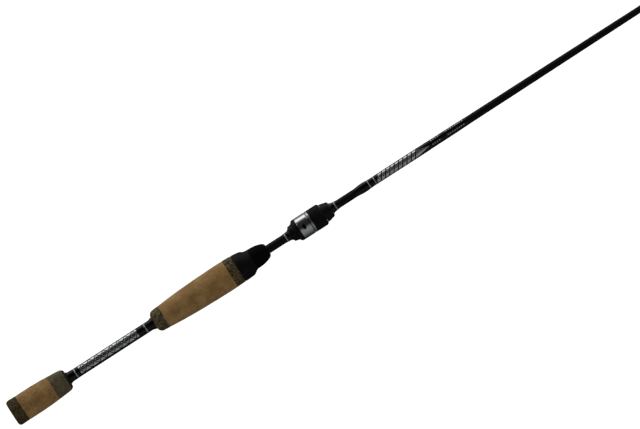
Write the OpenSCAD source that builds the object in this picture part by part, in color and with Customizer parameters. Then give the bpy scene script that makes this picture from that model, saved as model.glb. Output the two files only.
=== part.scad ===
// Split-grip spinning rod for ice fishing, in one piece.
// Frame: the origin is the centre of the flat butt face, +X runs along the
// blank to the tip, and -Z is the side that carries the reel foot and the
// line guides. Millimetres.

/* [Rod] */
// Length from the butt face to the front of the tip-top
rod_len = 1219; // [1210:1:1230]
// Blank diameter at the butt
blank_d = 10.9; // [10.8:0.05:11.0]
// Blank diameter at its tip
tip_d = 1.9; // [1.8:0.05:2.0]
// Wall of the hollow blank at the butt
blank_wall = 1.25; // [1.0:0.05:1.6]
// Radial glue gap between the blank and what sits on it
glue_gap = 0.03; // [0.02:0.01:0.05]

/* [Grip] */
// Length of one cork ring
cork_pitch = 13.05; // [12.9:0.05:13.1]
// Gap at each glue line between cork rings
glue_line = 0.06; // [0.04:0.01:0.1]

/* [Reel seat] */
// Half-width of the reel-foot pockets before their liners
pocket_hw = 8.8; // [8.6:0.1:8.9]
// Depth below the axis of the surface that the reel foot rests on
foot_z = 7.6; // [7.6:0.05:7.7]
// Depth below the axis of the outer wall of the pockets
pocket_z = 12.5; // [12.4:0.1:12.6]
// Thickness of the pocket liners
liner_t = 0.6; // [0.5:0.05:0.65]
// Lead of the seat thread
thread_pitch = 2; // [1.8:0.1:2]
// Crest radius of the seat thread
thread_r = 7.3; // [7.2:0.05:7.3]
// Root radius of the seat thread
thread_root_r = 6.65; // [6.5:0.05:6.8]

/* [Lock nut] */
// Number of grip grooves round the nut
nut_grooves = 24; // [16:1:28]
// Outer radius of the nut
nut_r = 11.88; // [11.6:0.02:12]

/* [Hidden] */
// Steps of a full circle where a curve is drawn
fine = 96;
g = glue_gap;

// Blank diameter along its length
DTAB = [[0, blank_d], [306, 9.09], [396, 8.64], [546, 8.2], [600, 7.95],
        [720, 7.12], [840, 6.2], [960, 5.0], [1080, 3.5], [1160, 2.5],
        [rod_len - 6, tip_d]];
// Outline radius of the rear grip along its length
RGRIP = [[2.6, 13.9], [4, 14.0], [12, 13.88], [28, 13.9], [34, 13.7],
         [40, 13.5], [48.5, 12.9], [56, 12.35], [60, 12.0], [61.5, 11.85],
         [63, 11.55], [64.5, 10.85], [65.6, 10.05], [66.4, 9.1]];
// Outline radius of the main grip along its length
MGRIP = [[168.5, 7.4], [169, 8.5], [169.5, 9.25], [170, 9.9], [171, 10.85], [172, 11.35],
         [173.2, 11.62], [176, 11.9],
         [180.4, 12.2], [188, 12.83], [196, 13.46], [204, 13.95], [212, 14.32],
         [220, 14.64], [236, 15.02], [252, 15.25], [260, 15.16], [268.3, 14.88]];

function rb(x) = lookup(x, DTAB) / 2;
function ri(x) = rb(x) - (blank_wall - 0.75 * x / rod_len);
function between(t, x0, x1) = [for (k = t) if (k[0] > x0 + 0.01 && k[0] < x1 - 0.01) k];
// Inner outline that follows the blank, from x1 back to x0, as [radius, x]
function bore_back(x0, x1, c) = let (m = between(DTAB, x0, x1), n = len(m))
    concat([[rb(x1) + c, x1]],
           [for (i = [n - 1:-1:0]) [m[i][1] / 2 + c, m[i][0]]],
           [[rb(x0) + c, x0]]);
// Outer outline cut from a table of [x, radius], as [radius, x]
function outline(t, x0, x1) = concat([[lookup(x0, t), x0]],
    [for (k = between(t, x0, x1)) [k[1], k[0]]], [[lookup(x1, t), x1]]);
function arc(cx, cy, r, a0, a1, n) =
    [for (i = [0:n]) let (a = a0 + (a1 - a0) * i / n) [cx + r * cos(a), cy + r * sin(a)]];

// ---- shared shapes -------------------------------------------------------

// Turned solid about the rod axis from [radius, x] points
module lathe(pts) rotate([0, 90, 0]) rotate_extrude($fn = fine) polygon(pts);

// Turned sleeve on the blank: outer points are [x, radius]
module sleeve(out, c = g) {
    n = len(out);
    lathe(concat([for (p = out) [p[1], p[0]]],
                 bore_back(out[0][0], out[n - 1][0], c)));
}

// Round bar or bore along the rod axis
module along(x0, x1, r) translate([x0, 0, 0]) rotate([0, 90, 0])
    cylinder(r = r, h = x1 - x0, $fn = fine);

// Extrusion along +X of a sketch whose axes are Y and Z
module extrude_x(x0, x1) translate([x0, 0, 0]) rotate([90, 0, 90])
    linear_extrude(height = x1 - x0) children();

// Lower half of a pocket's wall: flat sides, rounded bottom corners
module d_section(hw, zb, rc, zt = 0)
    polygon(concat([[hw, zt]], [[hw, -zb + rc]],
                   arc(hw - rc, -zb + rc, rc, -10, -80, 7),
                   [[hw - rc, -zb], [-hw + rc, -zb]],
                   arc(-hw + rc, -zb + rc, rc, -100, -170, 7),
                   [[-hw, -zb + rc], [-hw, zt]]));

// Rectangular bar between two points, w wide across Y and t thick
module bar(a, b, w, t) {
    d = b - a;
    l = norm(d);
    translate(a) rotate([0, acos(d[2] / l), atan2(d[1], d[0])])
        translate([-t / 2, -w / 2, 0]) cube([t, w, l]);
}

// ---- blank and grips -----------------------------------------------------

module blank() color("#16181a")
    lathe(concat(outline([for (k = DTAB) [k[0], k[1] / 2]], 4, rod_len - 6),
                 [for (p = bore_back(4, rod_len - 6, 0)) [ri(p[1]), p[1]]]));

module butt_ring() color("#4f4a33")
    lathe(concat([[0, 0], [11.3, 0]], arc(11.3, 2.6, 2.6, -80, -10, 6),
                 outline(RGRIP, 2.6, 12 - glue_line / 2),
                 [[rb(12) + g, 12 - glue_line / 2], [rb(4) + g, 3.97], [0, 3.97]]));

module grip_ring(t, x0, x1, bore_r = 0)
    lathe(concat(outline(t, x0, x1),
                 bore_r > 0 ? [[bore_r, x1], [bore_r, x0]] : bore_back(x0, x1, g)));

module rear_grip_cork() color("#a98a5c")
    for (i = [0:2])
        grip_ring(RGRIP, 12 + i * 12.17 + glue_line / 2, 12 + (i + 1) * 12.17 - glue_line / 2);

module rear_grip_front_ring() color("#5a553b")
    grip_ring(RGRIP, 48.51 + glue_line / 2, 66.4);

module rear_winding_check() color("#202225")
    sleeve([[66.5, 6.2], [66.8, 6.45], [67.7, 6.45], [68.1, 6.1]]);

CORK_X = 180.4;
module main_grip_rear_ring() color("#5a553b")
    grip_ring(MGRIP, 168.5, CORK_X - glue_line / 2);

module main_grip_cork() color("#b29263")
    for (i = [0:5])
        grip_ring(MGRIP, CORK_X + i * cork_pitch + glue_line / 2,
                  CORK_X + (i + 1) * cork_pitch - glue_line / 2, i > 3 ? 8.03 : 0);

module main_grip_front_ring() color("#57523a")
    grip_ring(MGRIP, CORK_X + 6 * cork_pitch + glue_line / 2, 268.2, 8.03);

// ---- decorated stretch between the grips ---------------------------------

module split_rear_wrap() color("#0c0d0e")
    sleeve([[68.15, 5.75], [70, 5.68], [74, 5.5], [74.95, 5.45]]);
module split_rear_band() color("#c9ccd0")
    sleeve([[75, 5.45], [76.1, 5.45]]);
module split_coat() color("#17191b")
    sleeve([[76.15, 5.42], [80, 5.38], [120, 5.4], [156, 5.4], [158.1, 5.42]]);
module split_front_band() color("#c9ccd0")
    sleeve([[158.15, 5.45], [159.25, 5.45]]);
module split_front_wrap() color("#0c0d0e")
    sleeve([[159.3, 5.45], [162, 5.35], [164, 5.45], [165, 5.66], [166, 5.92], [167.2, 6.35], [168.4, 6.7]]);

// ---- reel seat, rear half ------------------------------------------------

// Outline of the nylon core: spigot, neck under the overmould, hood dome
CORE = [[232.8, 7.6], [233.3, 8.0], [268.25, 8.0], [268.26, 9.6], [285.95, 9.6],
        [286, 10.98], [288, 10.95], [290, 10.86], [292, 10.65], [294, 10.37],
        [296, 9.98], [298, 9.42], [300, 8.8], [301, 8.4], [302, 7.85], [302.9, 7.2],
        [303.5, 6.4], [303.9, 5.2]];

module seat_core() color("#101113") difference() {
    union() {
        lathe(concat([for (p = CORE) [p[1], p[0]]], [[3, 303.9], [3, 232.8]]));
        extrude_x(276, 286) d_section(10.1, 13.4, 3.2, -3);
        extrude_x(285.9, 296) d_section(10.1, 14.2, 3.5, -3);
    }
    along(230, 285, 5.98);
    along(284, 305, 4.7);
    // reel-foot pocket, open to the front
    translate([278, -pocket_hw, -pocket_z]) cube([30, 2 * pocket_hw, pocket_z - foot_z]);
}

module seat_overmould() color("#2a2c2f") difference() {
    union() {
        lathe([[9.63, 268.3], [14.8, 268.3], [14.78, 271], [14.5, 274], [14.2, 277],
               [13.8, 279], [13.37, 280], [12.8, 281], [12.3, 282], [11.8, 283], [11.4, 284],
               [11.05, 285.9], [9.63, 285.9]]);
        extrude_x(271, 285.9) d_section(11.2, 14.9, 4, -3);
    }
    along(267, 287, 9.63);
    extrude_x(275.9, 287) d_section(10.14, 13.45, 3.2, -3);
}

// U-shaped pad in a reel-foot pocket
module pocket_liner(x0, x1) difference() {
    translate([x0, -pocket_hw + g, -pocket_z + g])
        cube([x1 - x0, 2 * (pocket_hw - g), pocket_z - foot_z - 0.6]);
    translate([x0 - 1, -pocket_hw + liner_t, -pocket_z + liner_t])
        cube([x1 - x0 + 2, 2 * (pocket_hw - liner_t), 10]);
}

module fixed_hood_liner() color("#3a3c3e") pocket_liner(278.1, 295.6);

module seat_rear_arbors() color("#8b8f94") for (x = [234, 262])
    sleeve([[x, 5.95], [x + 14, 5.95]]);

// ---- reel seat, front half -----------------------------------------------

module seat_wrap() color("#0c0d0e") {
    sleeve([[323.6, 4.64], [324.3, 4.72], [325.15, 4.8]]);
    sleeve([[326.25, 4.9], [328.4, 5.05], [329.4, 5.15]]);
}
module seat_wrap_band() color("#c9ccd0") sleeve([[325.2, 4.86], [326.2, 4.88]]);

THREAD_X0 = 336;
THREAD_N = 16;
module seat_barrel() color("#17181a") difference() {
    lathe(concat([[5.05, 329.5], [5.35, 329.5], [5.75, 330.2], [6.6, 331.2], [7.1, 332.2],
                  [thread_r, 333.4], [thread_r, THREAD_X0]],
                 [for (i = [0:THREAD_N - 1]) let (x = THREAD_X0 + i * thread_pitch)
                     each [[thread_root_r, x + 0.5], [thread_root_r, x + 1.0],
                           [thread_r, x + 1.5], [thread_r, x + thread_pitch]]],
                 [[thread_r, 371.4], [5.05, 371.4]]));
    // keyway that stops the hood turning
    translate([329, -1.5, 6.2]) cube([44, 3, 3]);
}

module seat_front_arbor() color("#8b8f94")
    sleeve([[330, 5.0], [371.3, 5.0]]);

module barrel_collar() color("#1d1e21")
    lathe([[7.35, 370.15], [10.0, 370.15], [10.1, 370.5], [9.85, 371.2], [9.8, 372.2],
           [9.55, 373.3], [9.1, 374.9], [8.83, 376], [8.57, 377], [8.3, 378], [7.8, 378.8],
           [6.9, 379.35], [rb(379.35) + g, 379.35], [rb(371.5) + g, 371.5],
           [7.35, 371.5]]);

module front_wrap() color("#0c0d0e") {
    sleeve([[379.4, 6.1], [380, 5.8], [381, 5.3], [382, 5.1], [383.85, 4.8]]);
    sleeve([[384.95, 4.68], [386, 4.55], [387.4, 4.42]]);
}
module front_wrap_band() color("#c9ccd0")
    sleeve([[383.9, 4.82], [384.9, 4.74]]);

module handle_wrap() color("#0c0d0e") {
    sleeve([[408.3, 4.42], [410, 4.6], [414, 4.86], [418, 5.0], [420.4, 5.03], [423.65, 4.72]]);
    sleeve([[424.8, 4.68], [427, 4.5], [430.55, 4.5]]);
    sleeve([[431.65, 4.55], [433, 4.55]]);
}
module handle_wrap_bands() color("#c9ccd0") {
    sleeve([[423.7, 4.74], [424.75, 4.71]]);
    sleeve([[430.6, 4.55], [431.6, 4.55]]);
}
module decal_coat() color("#17191b")
    sleeve([[433.05, 4.57], [470, 4.6], [492, 4.6], [497, 4.45], [525, 4.38],
            [534, 4.28], [540, 4.2], [541, 4.16]]);

// ---- sliding hood and lock nut -------------------------------------------

HOOD_X0 = 331.6;
HOOD_X1 = 353.95;
module sliding_hood() color("#141517") difference() {
    union() {
        lathe([[7, HOOD_X0], [8.0, HOOD_X0], [8.2, 333], [8.4, 334], [8.7, 335], [9.05, 336],
               [9.85, 337], [11.2, 338], [11.65, 338.9], [11.72, 340], [11.72, 341.5],
               [11.38, 341.5], [11.38, HOOD_X1], [7, HOOD_X1]]);
        extrude_x(337.2, 341.5) d_section(10.1, 14.2, 3.5, -3);
        extrude_x(341.4, 350.5) d_section(10.1, 13.8, 3.4, -3);
    }
    along(HOOD_X0 - 1, 350.1, 7.5);
    along(350.1, 352.3, 10.05);
    along(352.2, HOOD_X1 + 1, 9.25);
    // reel-foot pocket, open to the rear
    translate([330, -pocket_hw, -pocket_z]) cube([18.9, 2 * pocket_hw, pocket_z - 7]);
}

// The key is part of the hood: it runs in the keyway of the barrel
module hood_key() translate([336, -1.3, 6.5]) cube([14, 2.6, 1.6]);

module keyed_hood() { sliding_hood(); color("#141517") hood_key(); }

module hood_sleeve() color("#c4c7ca") difference() {
    union() {
        along(341.56, 353.6, 11.86);
        extrude_x(341.56, 353.6) d_section(10.55, 14.3, 3.9, -3);
    }
    along(340, 355, 11.41);
    extrude_x(340, 355) d_section(10.13, 13.84, 3.4, -3);
}

module sliding_hood_liner() color("#3a3c3e") pocket_liner(337.3, 348.85);

NUT_X0 = 350.4;
NUT_X1 = 369.85;
module lock_nut() color("#141517") difference() {
    lathe([[7.45, NUT_X0], [9.75, NUT_X0], [9.75, 352.0], [8.95, 352.0], [8.95, 354.25],
           [11.0, 354.25], [11.0, 356.5], [11.5, 356.5], [nut_r, 356.9], [nut_r, 368.1],
           [11.35, 369.1], [10.5, NUT_X1], [7.45, NUT_X1]]);
    for (i = [0:nut_grooves - 1]) rotate([i * 360 / nut_grooves + 7.5, 0, 0])
        translate([357.9, 0, nut_r + 0.35]) rotate([0, 90, 0]) cylinder(r = 0.8, h = 12, $fn = 24);
}

module nut_trim_ring() color("#c9ccd0")
    lathe([[11.03, 354.3], [11.8, 354.3], [11.9, 354.6], [11.9, 356.1], [11.8, 356.45],
           [11.03, 356.45]]);

// ---- line guides ---------------------------------------------------------

// [ring plane x, ring inner radius, ring outer radius, centre depth, foot length]
GUIDES = [[790, 6.0, 7.8, 17.0, 14], [880, 4.2, 5.6, 11.6, 11], [958, 3.2, 4.4, 8.8, 10],
          [1026, 2.6, 3.7, 7.2, 9], [1086, 2.2, 3.2, 6.0, 8.5], [1138, 1.9, 2.8, 5.2, 8]];

// Ceramic ring: straight bore with flared lips
module ceramic(x, z, r0, r1) translate([x, 0, z]) rotate([0, 90, 0])
    rotate_extrude($fn = fine) polygon(concat(
        [[r0, -0.4], [r0 + 0.28, -0.85], [r1 - g, -0.85], [r1 - g, 0.85], [r0 + 0.28, 0.85],
         [r0, 0.4]]));

// Holder that the ceramic ring is pressed into
module holder(x, z, r1, w) translate([x - 0.6, 0, z]) rotate([0, 90, 0]) difference() {
    cylinder(r = r1 + w, h = 1.2, $fn = fine);
    translate([0, 0, -1]) cylinder(r = r1, h = 4, $fn = fine);
}

// Foot on the blank from its tip x0 to its heel x1, on the -Z side
module foot(x0, x1, hw, c = 0) {
    a = min(x0, x1);
    b = max(x0, x1);
    t0 = x0 < x1 ? 0.2 : 0.95;
    t1 = x0 < x1 ? 0.95 : 0.2;
    intersection() {
        lathe(concat([[rb(a) + t0 + c, a - c], [rb(b) + t1 + c, b + c]], bore_back(a - c, b + c, g)));
        translate([a - c, -hw - c, -20]) cube([b - a + 2 * c, 2 * (hw + c), 20]);
    }
}

// Two struts from the heel of a foot to the holder
module struts(xh, zh, x, z, r1, w, a) for (s = [-1, 1])
    bar([xh, s * 0.6, zh], [x, s * (r1 + w / 2) * sin(a), z + (r1 + w / 2) * cos(a)], 1.1, 1.0);

module guide_frame(i) {
    p = GUIDES[i];
    x = p[0];
    z = -p[3];
    w = i == 0 ? 0.9 : 0.75;
    hw = i == 0 ? 1.6 : 1.25;
    color("#2b2d30") {
        holder(x, z, p[2], w);
        foot(x + 5 + p[4], x + 5, hw);
        if (i == 0) foot(x - 9 - p[4], x - 9, hw);
        difference() {
            union() {
                struts(x + 5.6, -rb(x + 5.6) - 0.55, x, z, p[2], w, 40);
                if (i == 0) struts(x - 9.6, -rb(x - 9.6) - 0.55, x, z, p[2], w, 62);
            }
            translate([x - 3, 0, z]) rotate([0, 90, 0]) cylinder(r = p[2] + 0.2, h = 6, $fn = fine);
            along(x - 20, x + 20, rb(x - 10) + 0.06);
        }
    }
}

module guide_ring(i) color("#4a4e55") ceramic(GUIDES[i][0], -GUIDES[i][3], GUIDES[i][1], GUIDES[i][2]);

// Thread wrap over a foot, from its tip x0 to its heel x1
module foot_wrap(x0, x1, hw) {
    d = x0 < x1 ? 1 : -1;
    xs = x0 - 2.5 * d;
    xe = x1 - 1.6 * d;
    a = min(xs, xe);
    b = max(xs, xe);
    fa = min(x0, x1) - g;
    fb = max(x0, x1) + g;
    difference() {
        union() {
            lathe([[0, a], [rb(a) + 0.3, a], [rb(b) + 0.3, b], [0, b]]);
            intersection() {
                lathe([[0, a], [rb(a) + (d > 0 ? 0.4 : 1.25), a],
                       [rb(b) + (d > 0 ? 1.25 : 0.4), b], [0, b]]);
                translate([a, -hw - 0.5, -20]) cube([b - a, 2 * hw + 1, 20]);
            }
        }
        lathe([[0, a - 5], [rb(a - 5) + g, a - 5], [rb(b + 5) + g, b + 5], [0, b + 5]]);
        // room for the foot
        intersection() {
            lathe([[0, fa], [rb(fa) + (d > 0 ? 0.2 : 0.95) + g, fa],
                   [rb(fb) + (d > 0 ? 0.95 : 0.2) + g, fb], [0, fb]]);
            translate([fa, -hw - g, -20]) cube([fb - fa, 2 * (hw + g), 20]);
        }
    }
}

module guide_wrap(i) {
    p = GUIDES[i];
    hw = i == 0 ? 1.6 : 1.25;
    color("#0c0d0e") {
        foot_wrap(p[0] + 5 + p[4], p[0] + 5, hw);
        if (i == 0) foot_wrap(p[0] - 9 - p[4], p[0] - 9, hw);
    }
}

TIP_Z = -4.6;
TIP_X = rod_len - 0.85;
module tip_top_frame() color("#2b2d30") {
    difference() {
        union() {
            along(rod_len - 16, rod_len - 3.4, 1.5);
            for (s = [-1, 1])
                bar([rod_len - 5, s * 0.7, -0.6], [TIP_X, s * 2.5, TIP_Z + 2.0], 0.9, 0.9);
        }
        along(rod_len - 17, rod_len - 5.5, 1.14);
        translate([TIP_X, 0, TIP_Z]) rotate([0, 90, 0]) cylinder(r = 2.8 + 0.2, h = 4, center = true, $fn = fine);
        translate([rod_len - 0.25, -5, -5]) cube([3, 10, 10]);
    }
    holder(TIP_X, TIP_Z, 2.8, 0.7);
}
module tip_top_ring() color("#4a4e55") ceramic(TIP_X, TIP_Z, 1.9, 2.8);
module tip_top_wrap() color("#0c0d0e") sleeve([[rod_len - 24, rb(rod_len - 24) + 0.25], [rod_len - 16.1, rb(rod_len - 16.1) + 0.3]]);

// ---- assembly ------------------------------------------------------------

blank();
butt_ring();
rear_grip_cork();
rear_grip_front_ring();
rear_winding_check();
split_rear_wrap();
split_rear_band();
split_coat();
split_front_band();
split_front_wrap();
main_grip_rear_ring();
main_grip_cork();
main_grip_front_ring();
seat_core();
seat_overmould();
fixed_hood_liner();
seat_rear_arbors();
seat_wrap();
seat_wrap_band();
seat_barrel();
seat_front_arbor();
barrel_collar();
front_wrap();
front_wrap_band();
handle_wrap();
handle_wrap_bands();
decal_coat();
keyed_hood();  // sliding_hood
hood_sleeve();
sliding_hood_liner();
lock_nut();
nut_trim_ring();
guide_frame(0);  // guide_1_frame
guide_ring(0);  // guide_1_ring
guide_wrap(0);  // guide_1_wrap
guide_frame(1);  // guide_2_frame
guide_ring(1);  // guide_2_ring
guide_wrap(1);  // guide_2_wrap
guide_frame(2);  // guide_3_frame
guide_ring(2);  // guide_3_ring
guide_wrap(2);  // guide_3_wrap
guide_frame(3);  // guide_4_frame
guide_ring(3);  // guide_4_ring
guide_wrap(3);  // guide_4_wrap
guide_frame(4);  // guide_5_frame
guide_ring(4);  // guide_5_ring
guide_wrap(4);  // guide_5_wrap
guide_frame(5);  // guide_6_frame
guide_ring(5);  // guide_6_ring
guide_wrap(5);  // guide_6_wrap
tip_top_frame();
tip_top_ring();
tip_top_wrap();
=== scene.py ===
import bpy
import bmesh
import math
import numpy as np
from mathutils import Matrix, Vector


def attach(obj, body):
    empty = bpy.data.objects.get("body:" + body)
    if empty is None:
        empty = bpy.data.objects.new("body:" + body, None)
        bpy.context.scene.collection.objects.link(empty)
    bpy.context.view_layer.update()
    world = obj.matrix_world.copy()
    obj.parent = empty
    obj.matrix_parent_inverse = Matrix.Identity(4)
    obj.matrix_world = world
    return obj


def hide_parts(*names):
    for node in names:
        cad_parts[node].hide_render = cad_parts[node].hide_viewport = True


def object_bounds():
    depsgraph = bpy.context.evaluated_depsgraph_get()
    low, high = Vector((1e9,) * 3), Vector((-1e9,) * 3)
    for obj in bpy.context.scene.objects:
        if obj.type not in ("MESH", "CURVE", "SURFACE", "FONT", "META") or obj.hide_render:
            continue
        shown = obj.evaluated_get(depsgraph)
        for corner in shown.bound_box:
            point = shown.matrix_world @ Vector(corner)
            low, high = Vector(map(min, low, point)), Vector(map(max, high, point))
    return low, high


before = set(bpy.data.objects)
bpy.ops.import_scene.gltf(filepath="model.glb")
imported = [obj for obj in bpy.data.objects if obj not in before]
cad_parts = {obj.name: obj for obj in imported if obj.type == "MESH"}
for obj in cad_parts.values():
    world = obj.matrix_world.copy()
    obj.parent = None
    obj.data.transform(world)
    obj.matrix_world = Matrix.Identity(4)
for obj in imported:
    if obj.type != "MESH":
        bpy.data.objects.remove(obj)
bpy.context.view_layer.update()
MM = 0.001
TAU = 2 * math.pi

# ---------------------------------------------------------------- camera
# Looks straight at the back of the rod (down -Z), rolled so that the rod runs
# up to the right at 32.85 degrees. 640 mm across the frame at the rod's axis.
ROLL = math.radians(32.85)
cam_data = bpy.data.cameras.new("camera")
cam_data.lens = 800.0
cam_data.sensor_width = 36.0
cam_data.clip_start, cam_data.clip_end = 0.05, 200.0
cam = bpy.data.objects.new("camera", cam_data)
bpy.context.scene.collection.objects.link(cam)
CAM_X, CAM_Y = 0.36675, 0.00106
DIST = 0.320 / math.tan(math.atan(18.0 / 800.0))
right = Vector((math.cos(ROLL), -math.sin(ROLL), 0))
up = Vector((math.sin(ROLL), math.cos(ROLL), 0))
rot = Matrix((right, up, Vector((0, 0, 1)))).transposed()
cam.matrix_world = Matrix.Translation((CAM_X, CAM_Y, DIST)) @ rot.to_4x4()
bpy.context.scene.camera = cam

# ---------------------------------------------------------------- node helper


class Mat:
    """A small builder for node materials."""

    def __init__(self, name):
        self.m = bpy.data.materials.new(name)
        self.m.use_nodes = True
        self.t = self.m.node_tree
        self.t.nodes.clear()
        self.out = self.t.nodes.new("ShaderNodeOutputMaterial")
        self.b = self.t.nodes.new("ShaderNodeBsdfPrincipled")
        self.link(self.b.outputs[0], self.out.inputs["Surface"])
        self._co = None

    def link(self, a, b):
        self.t.links.new(a, b)

    def put(self, sock, v):
        if hasattr(v, "links") or isinstance(v, bpy.types.NodeSocket):
            self.link(v, sock)
        elif isinstance(v, (tuple, list)):
            if sock.type == "RGBA" and len(v) == 3:
                v = (*v, 1.0)
            sock.default_value = v
        else:
            sock.default_value = v

    def set(self, **kw):
        for k, v in kw.items():
            self.put(self.b.inputs[k.replace("_", " ")], v)
        return self

    def co(self):
        if self._co is None:
            self._co = self.t.nodes.new("ShaderNodeTexCoord")
        return self._co.outputs["Object"]

    def uv(self):
        self.co()
        return self._co.outputs["UV"]

    def attr(self, name):
        n = self.t.nodes.new("ShaderNodeAttribute")
        n.attribute_name = name
        return n.outputs["Fac"]

    def vmap(self, vec, scale=(1, 1, 1), loc=(0, 0, 0), rot=(0, 0, 0)):
        n = self.t.nodes.new("ShaderNodeMapping")
        self.put(n.inputs["Vector"], vec)
        n.inputs["Scale"].default_value = scale
        n.inputs["Location"].default_value = loc
        n.inputs["Rotation"].default_value = rot
        return n.outputs[0]

    def noise(self, vec, scale, detail=3.0, rough=0.55, dist=0.0, out="Fac"):
        n = self.t.nodes.new("ShaderNodeTexNoise")
        self.put(n.inputs["Vector"], vec)
        n.inputs["Scale"].default_value = scale
        n.inputs["Detail"].default_value = detail
        n.inputs["Roughness"].default_value = rough
        n.inputs["Distortion"].default_value = dist
        return n.outputs[out]

    def voronoi(self, vec, scale, feature="F1", out="Distance", rand=1.0):
        n = self.t.nodes.new("ShaderNodeTexVoronoi")
        n.feature = feature
        self.put(n.inputs["Vector"], vec)
        n.inputs["Scale"].default_value = scale
        n.inputs["Randomness"].default_value = rand
        return n.outputs[out]

    def math(self, op, a, b=None, c=None, clamp=False):
        n = self.t.nodes.new("ShaderNodeMath")
        n.operation = op
        n.use_clamp = clamp
        self.put(n.inputs[0], a)
        if b is not None:
            self.put(n.inputs[1], b)
        if c is not None:
            self.put(n.inputs[2], c)
        return n.outputs[0]

    def ramp(self, fac, stops, mode="LINEAR"):
        n = self.t.nodes.new("ShaderNodeValToRGB")
        n.color_ramp.interpolation = mode
        e = n.color_ramp.elements
        while len(e) > 1:
            e.remove(e[0])
        first = True
        for p, c in stops:
            if not isinstance(c, (tuple, list)):
                c = (c, c, c)
            if first:
                e[0].position = p
                e[0].color = (*c, 1)
                first = False
            else:
                k = e.new(p)
                k.color = (*c, 1)
        self.put(n.inputs[0], fac)
        return n.outputs[0]

    def mix(self, fac, a, b, kind="MIX"):
        n = self.t.nodes.new("ShaderNodeMix")
        n.data_type = "RGBA"
        n.blend_type = kind
        n.clamp_factor = True
        self.put(n.inputs["Factor"], fac)
        self.put(n.inputs[6], a)
        self.put(n.inputs[7], b)
        return n.outputs[2]

    def rng(self, v, a, b, c=0.0, d=1.0, smooth=False):
        n = self.t.nodes.new("ShaderNodeMapRange")
        n.interpolation_type = "SMOOTHSTEP" if smooth else "LINEAR"
        n.clamp = True
        self.put(n.inputs[0], v)
        for i, x in enumerate((a, b, c, d), 1):
            self.put(n.inputs[i], x)
        return n.outputs[0]

    def sep(self, vec):
        n = self.t.nodes.new("ShaderNodeSeparateXYZ")
        self.put(n.inputs[0], vec)
        return n.outputs

    def comb(self, x, y, z):
        n = self.t.nodes.new("ShaderNodeCombineXYZ")
        for i, v in enumerate((x, y, z)):
            self.put(n.inputs[i], v)
        return n.outputs[0]

    def bump(self, height, dist, strength=1.0, normal=None):
        n = self.t.nodes.new("ShaderNodeBump")
        n.inputs["Strength"].default_value = strength
        n.inputs["Distance"].default_value = dist
        self.put(n.inputs["Height"], height)
        if normal is not None:
            self.put(n.inputs["Normal"], normal)
        return n.outputs[0]


# ---------------------------------------------------------------- materials

# colours are linear
CORK_A, CORK_B, CORK_DARK = (0.425, 0.252, 0.090), (0.295, 0.166, 0.058), (0.045, 0.024, 0.011)
BURL_A, BURL_B, BURL_C, BURL_D = (0.090, 0.078, 0.040), (0.150, 0.122, 0.066), (0.030, 0.022, 0.011), (0.30, 0.22, 0.12)


def make_cork():
    m = Mat("cork")
    p = m.co()
    tone = m.attr("tone")
    big = m.noise(p, 90, 3, 0.6)
    mid = m.noise(m.vmap(p, (1, 1, 1)), 420, 4, 0.65)
    base = m.mix(m.rng(big, 0.36, 0.66), CORK_B, CORK_A)
    base = m.mix(m.rng(tone, 0.0, 1.0), base, m.mix(1.0, base, (0.80, 0.76, 0.70), "MULTIPLY"))
    # warm and pale flecks of the growth layers
    base = m.mix(m.math("MULTIPLY", m.rng(mid, 0.56, 0.74), 0.55), base, (0.47, 0.285, 0.115))
    base = m.mix(m.math("MULTIPLY", m.rng(mid, 0.46, 0.30), 0.55), base, (0.19, 0.098, 0.036))
    # small round pores
    por = m.voronoi(m.vmap(p, (1, 1, 1)), 620, rand=1.0)
    keep = m.rng(m.noise(p, 260, 2), 0.50, 0.62)
    pores = m.math("MULTIPLY", m.rng(por, 0.30, 0.10), keep)
    # short dark streaks that run with the growth of the bark
    st = m.voronoi(m.vmap(p, (0.35, 1.0, 1.0), rot=(0.0, 0.35, 0.5)), 330, rand=1.0)
    skeep = m.rng(m.noise(p, 140, 2, out="Fac"), 0.56, 0.66)
    streaks = m.math("MULTIPLY", m.rng(st, 0.22, 0.06), skeep)
    pits = m.math("MAXIMUM", m.math("MAXIMUM", pores, streaks), m.attr("pit"), clamp=True)
    hue = m.noise(m.vmap(p, (1, 1, 1), (0.31, 0.17, 0.05)), 230, 3, 0.6)
    base = m.mix(m.rng(hue, 0.56, 0.70, 0.0, 0.85), base, m.mix(1.0, base, (0.94, 1.12, 0.90), "MULTIPLY"))
    base = m.mix(m.rng(hue, 0.44, 0.30, 0.0, 0.85), base, m.mix(1.0, base, (1.08, 0.94, 0.96), "MULTIPLY"))
    col = m.mix(m.math("MULTIPLY", pits, 0.85), base, CORK_DARK)
    grain = m.noise(p, 2600, 3, 0.7)
    col = m.mix(m.rng(grain, 0.35, 0.75, 0.0, 0.28), col, m.mix(1.0, col, (0.62, 0.60, 0.58), "MULTIPLY"))
    h = m.math("SUBTRACT", m.math("MULTIPLY", grain, 0.35), m.math("MULTIPLY", pits, 1.0))
    m.set(Base_Color=col, Roughness=m.rng(mid, 0.3, 0.7, 0.74, 0.90), Normal=m.bump(h, 0.00016, 0.8))
    m.b.inputs["Specular IOR Level"].default_value = 0.28
    m.b.inputs["Sheen Weight"].default_value = 0.10
    m.b.inputs["Sheen Roughness"].default_value = 0.6
    return m.m


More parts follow.
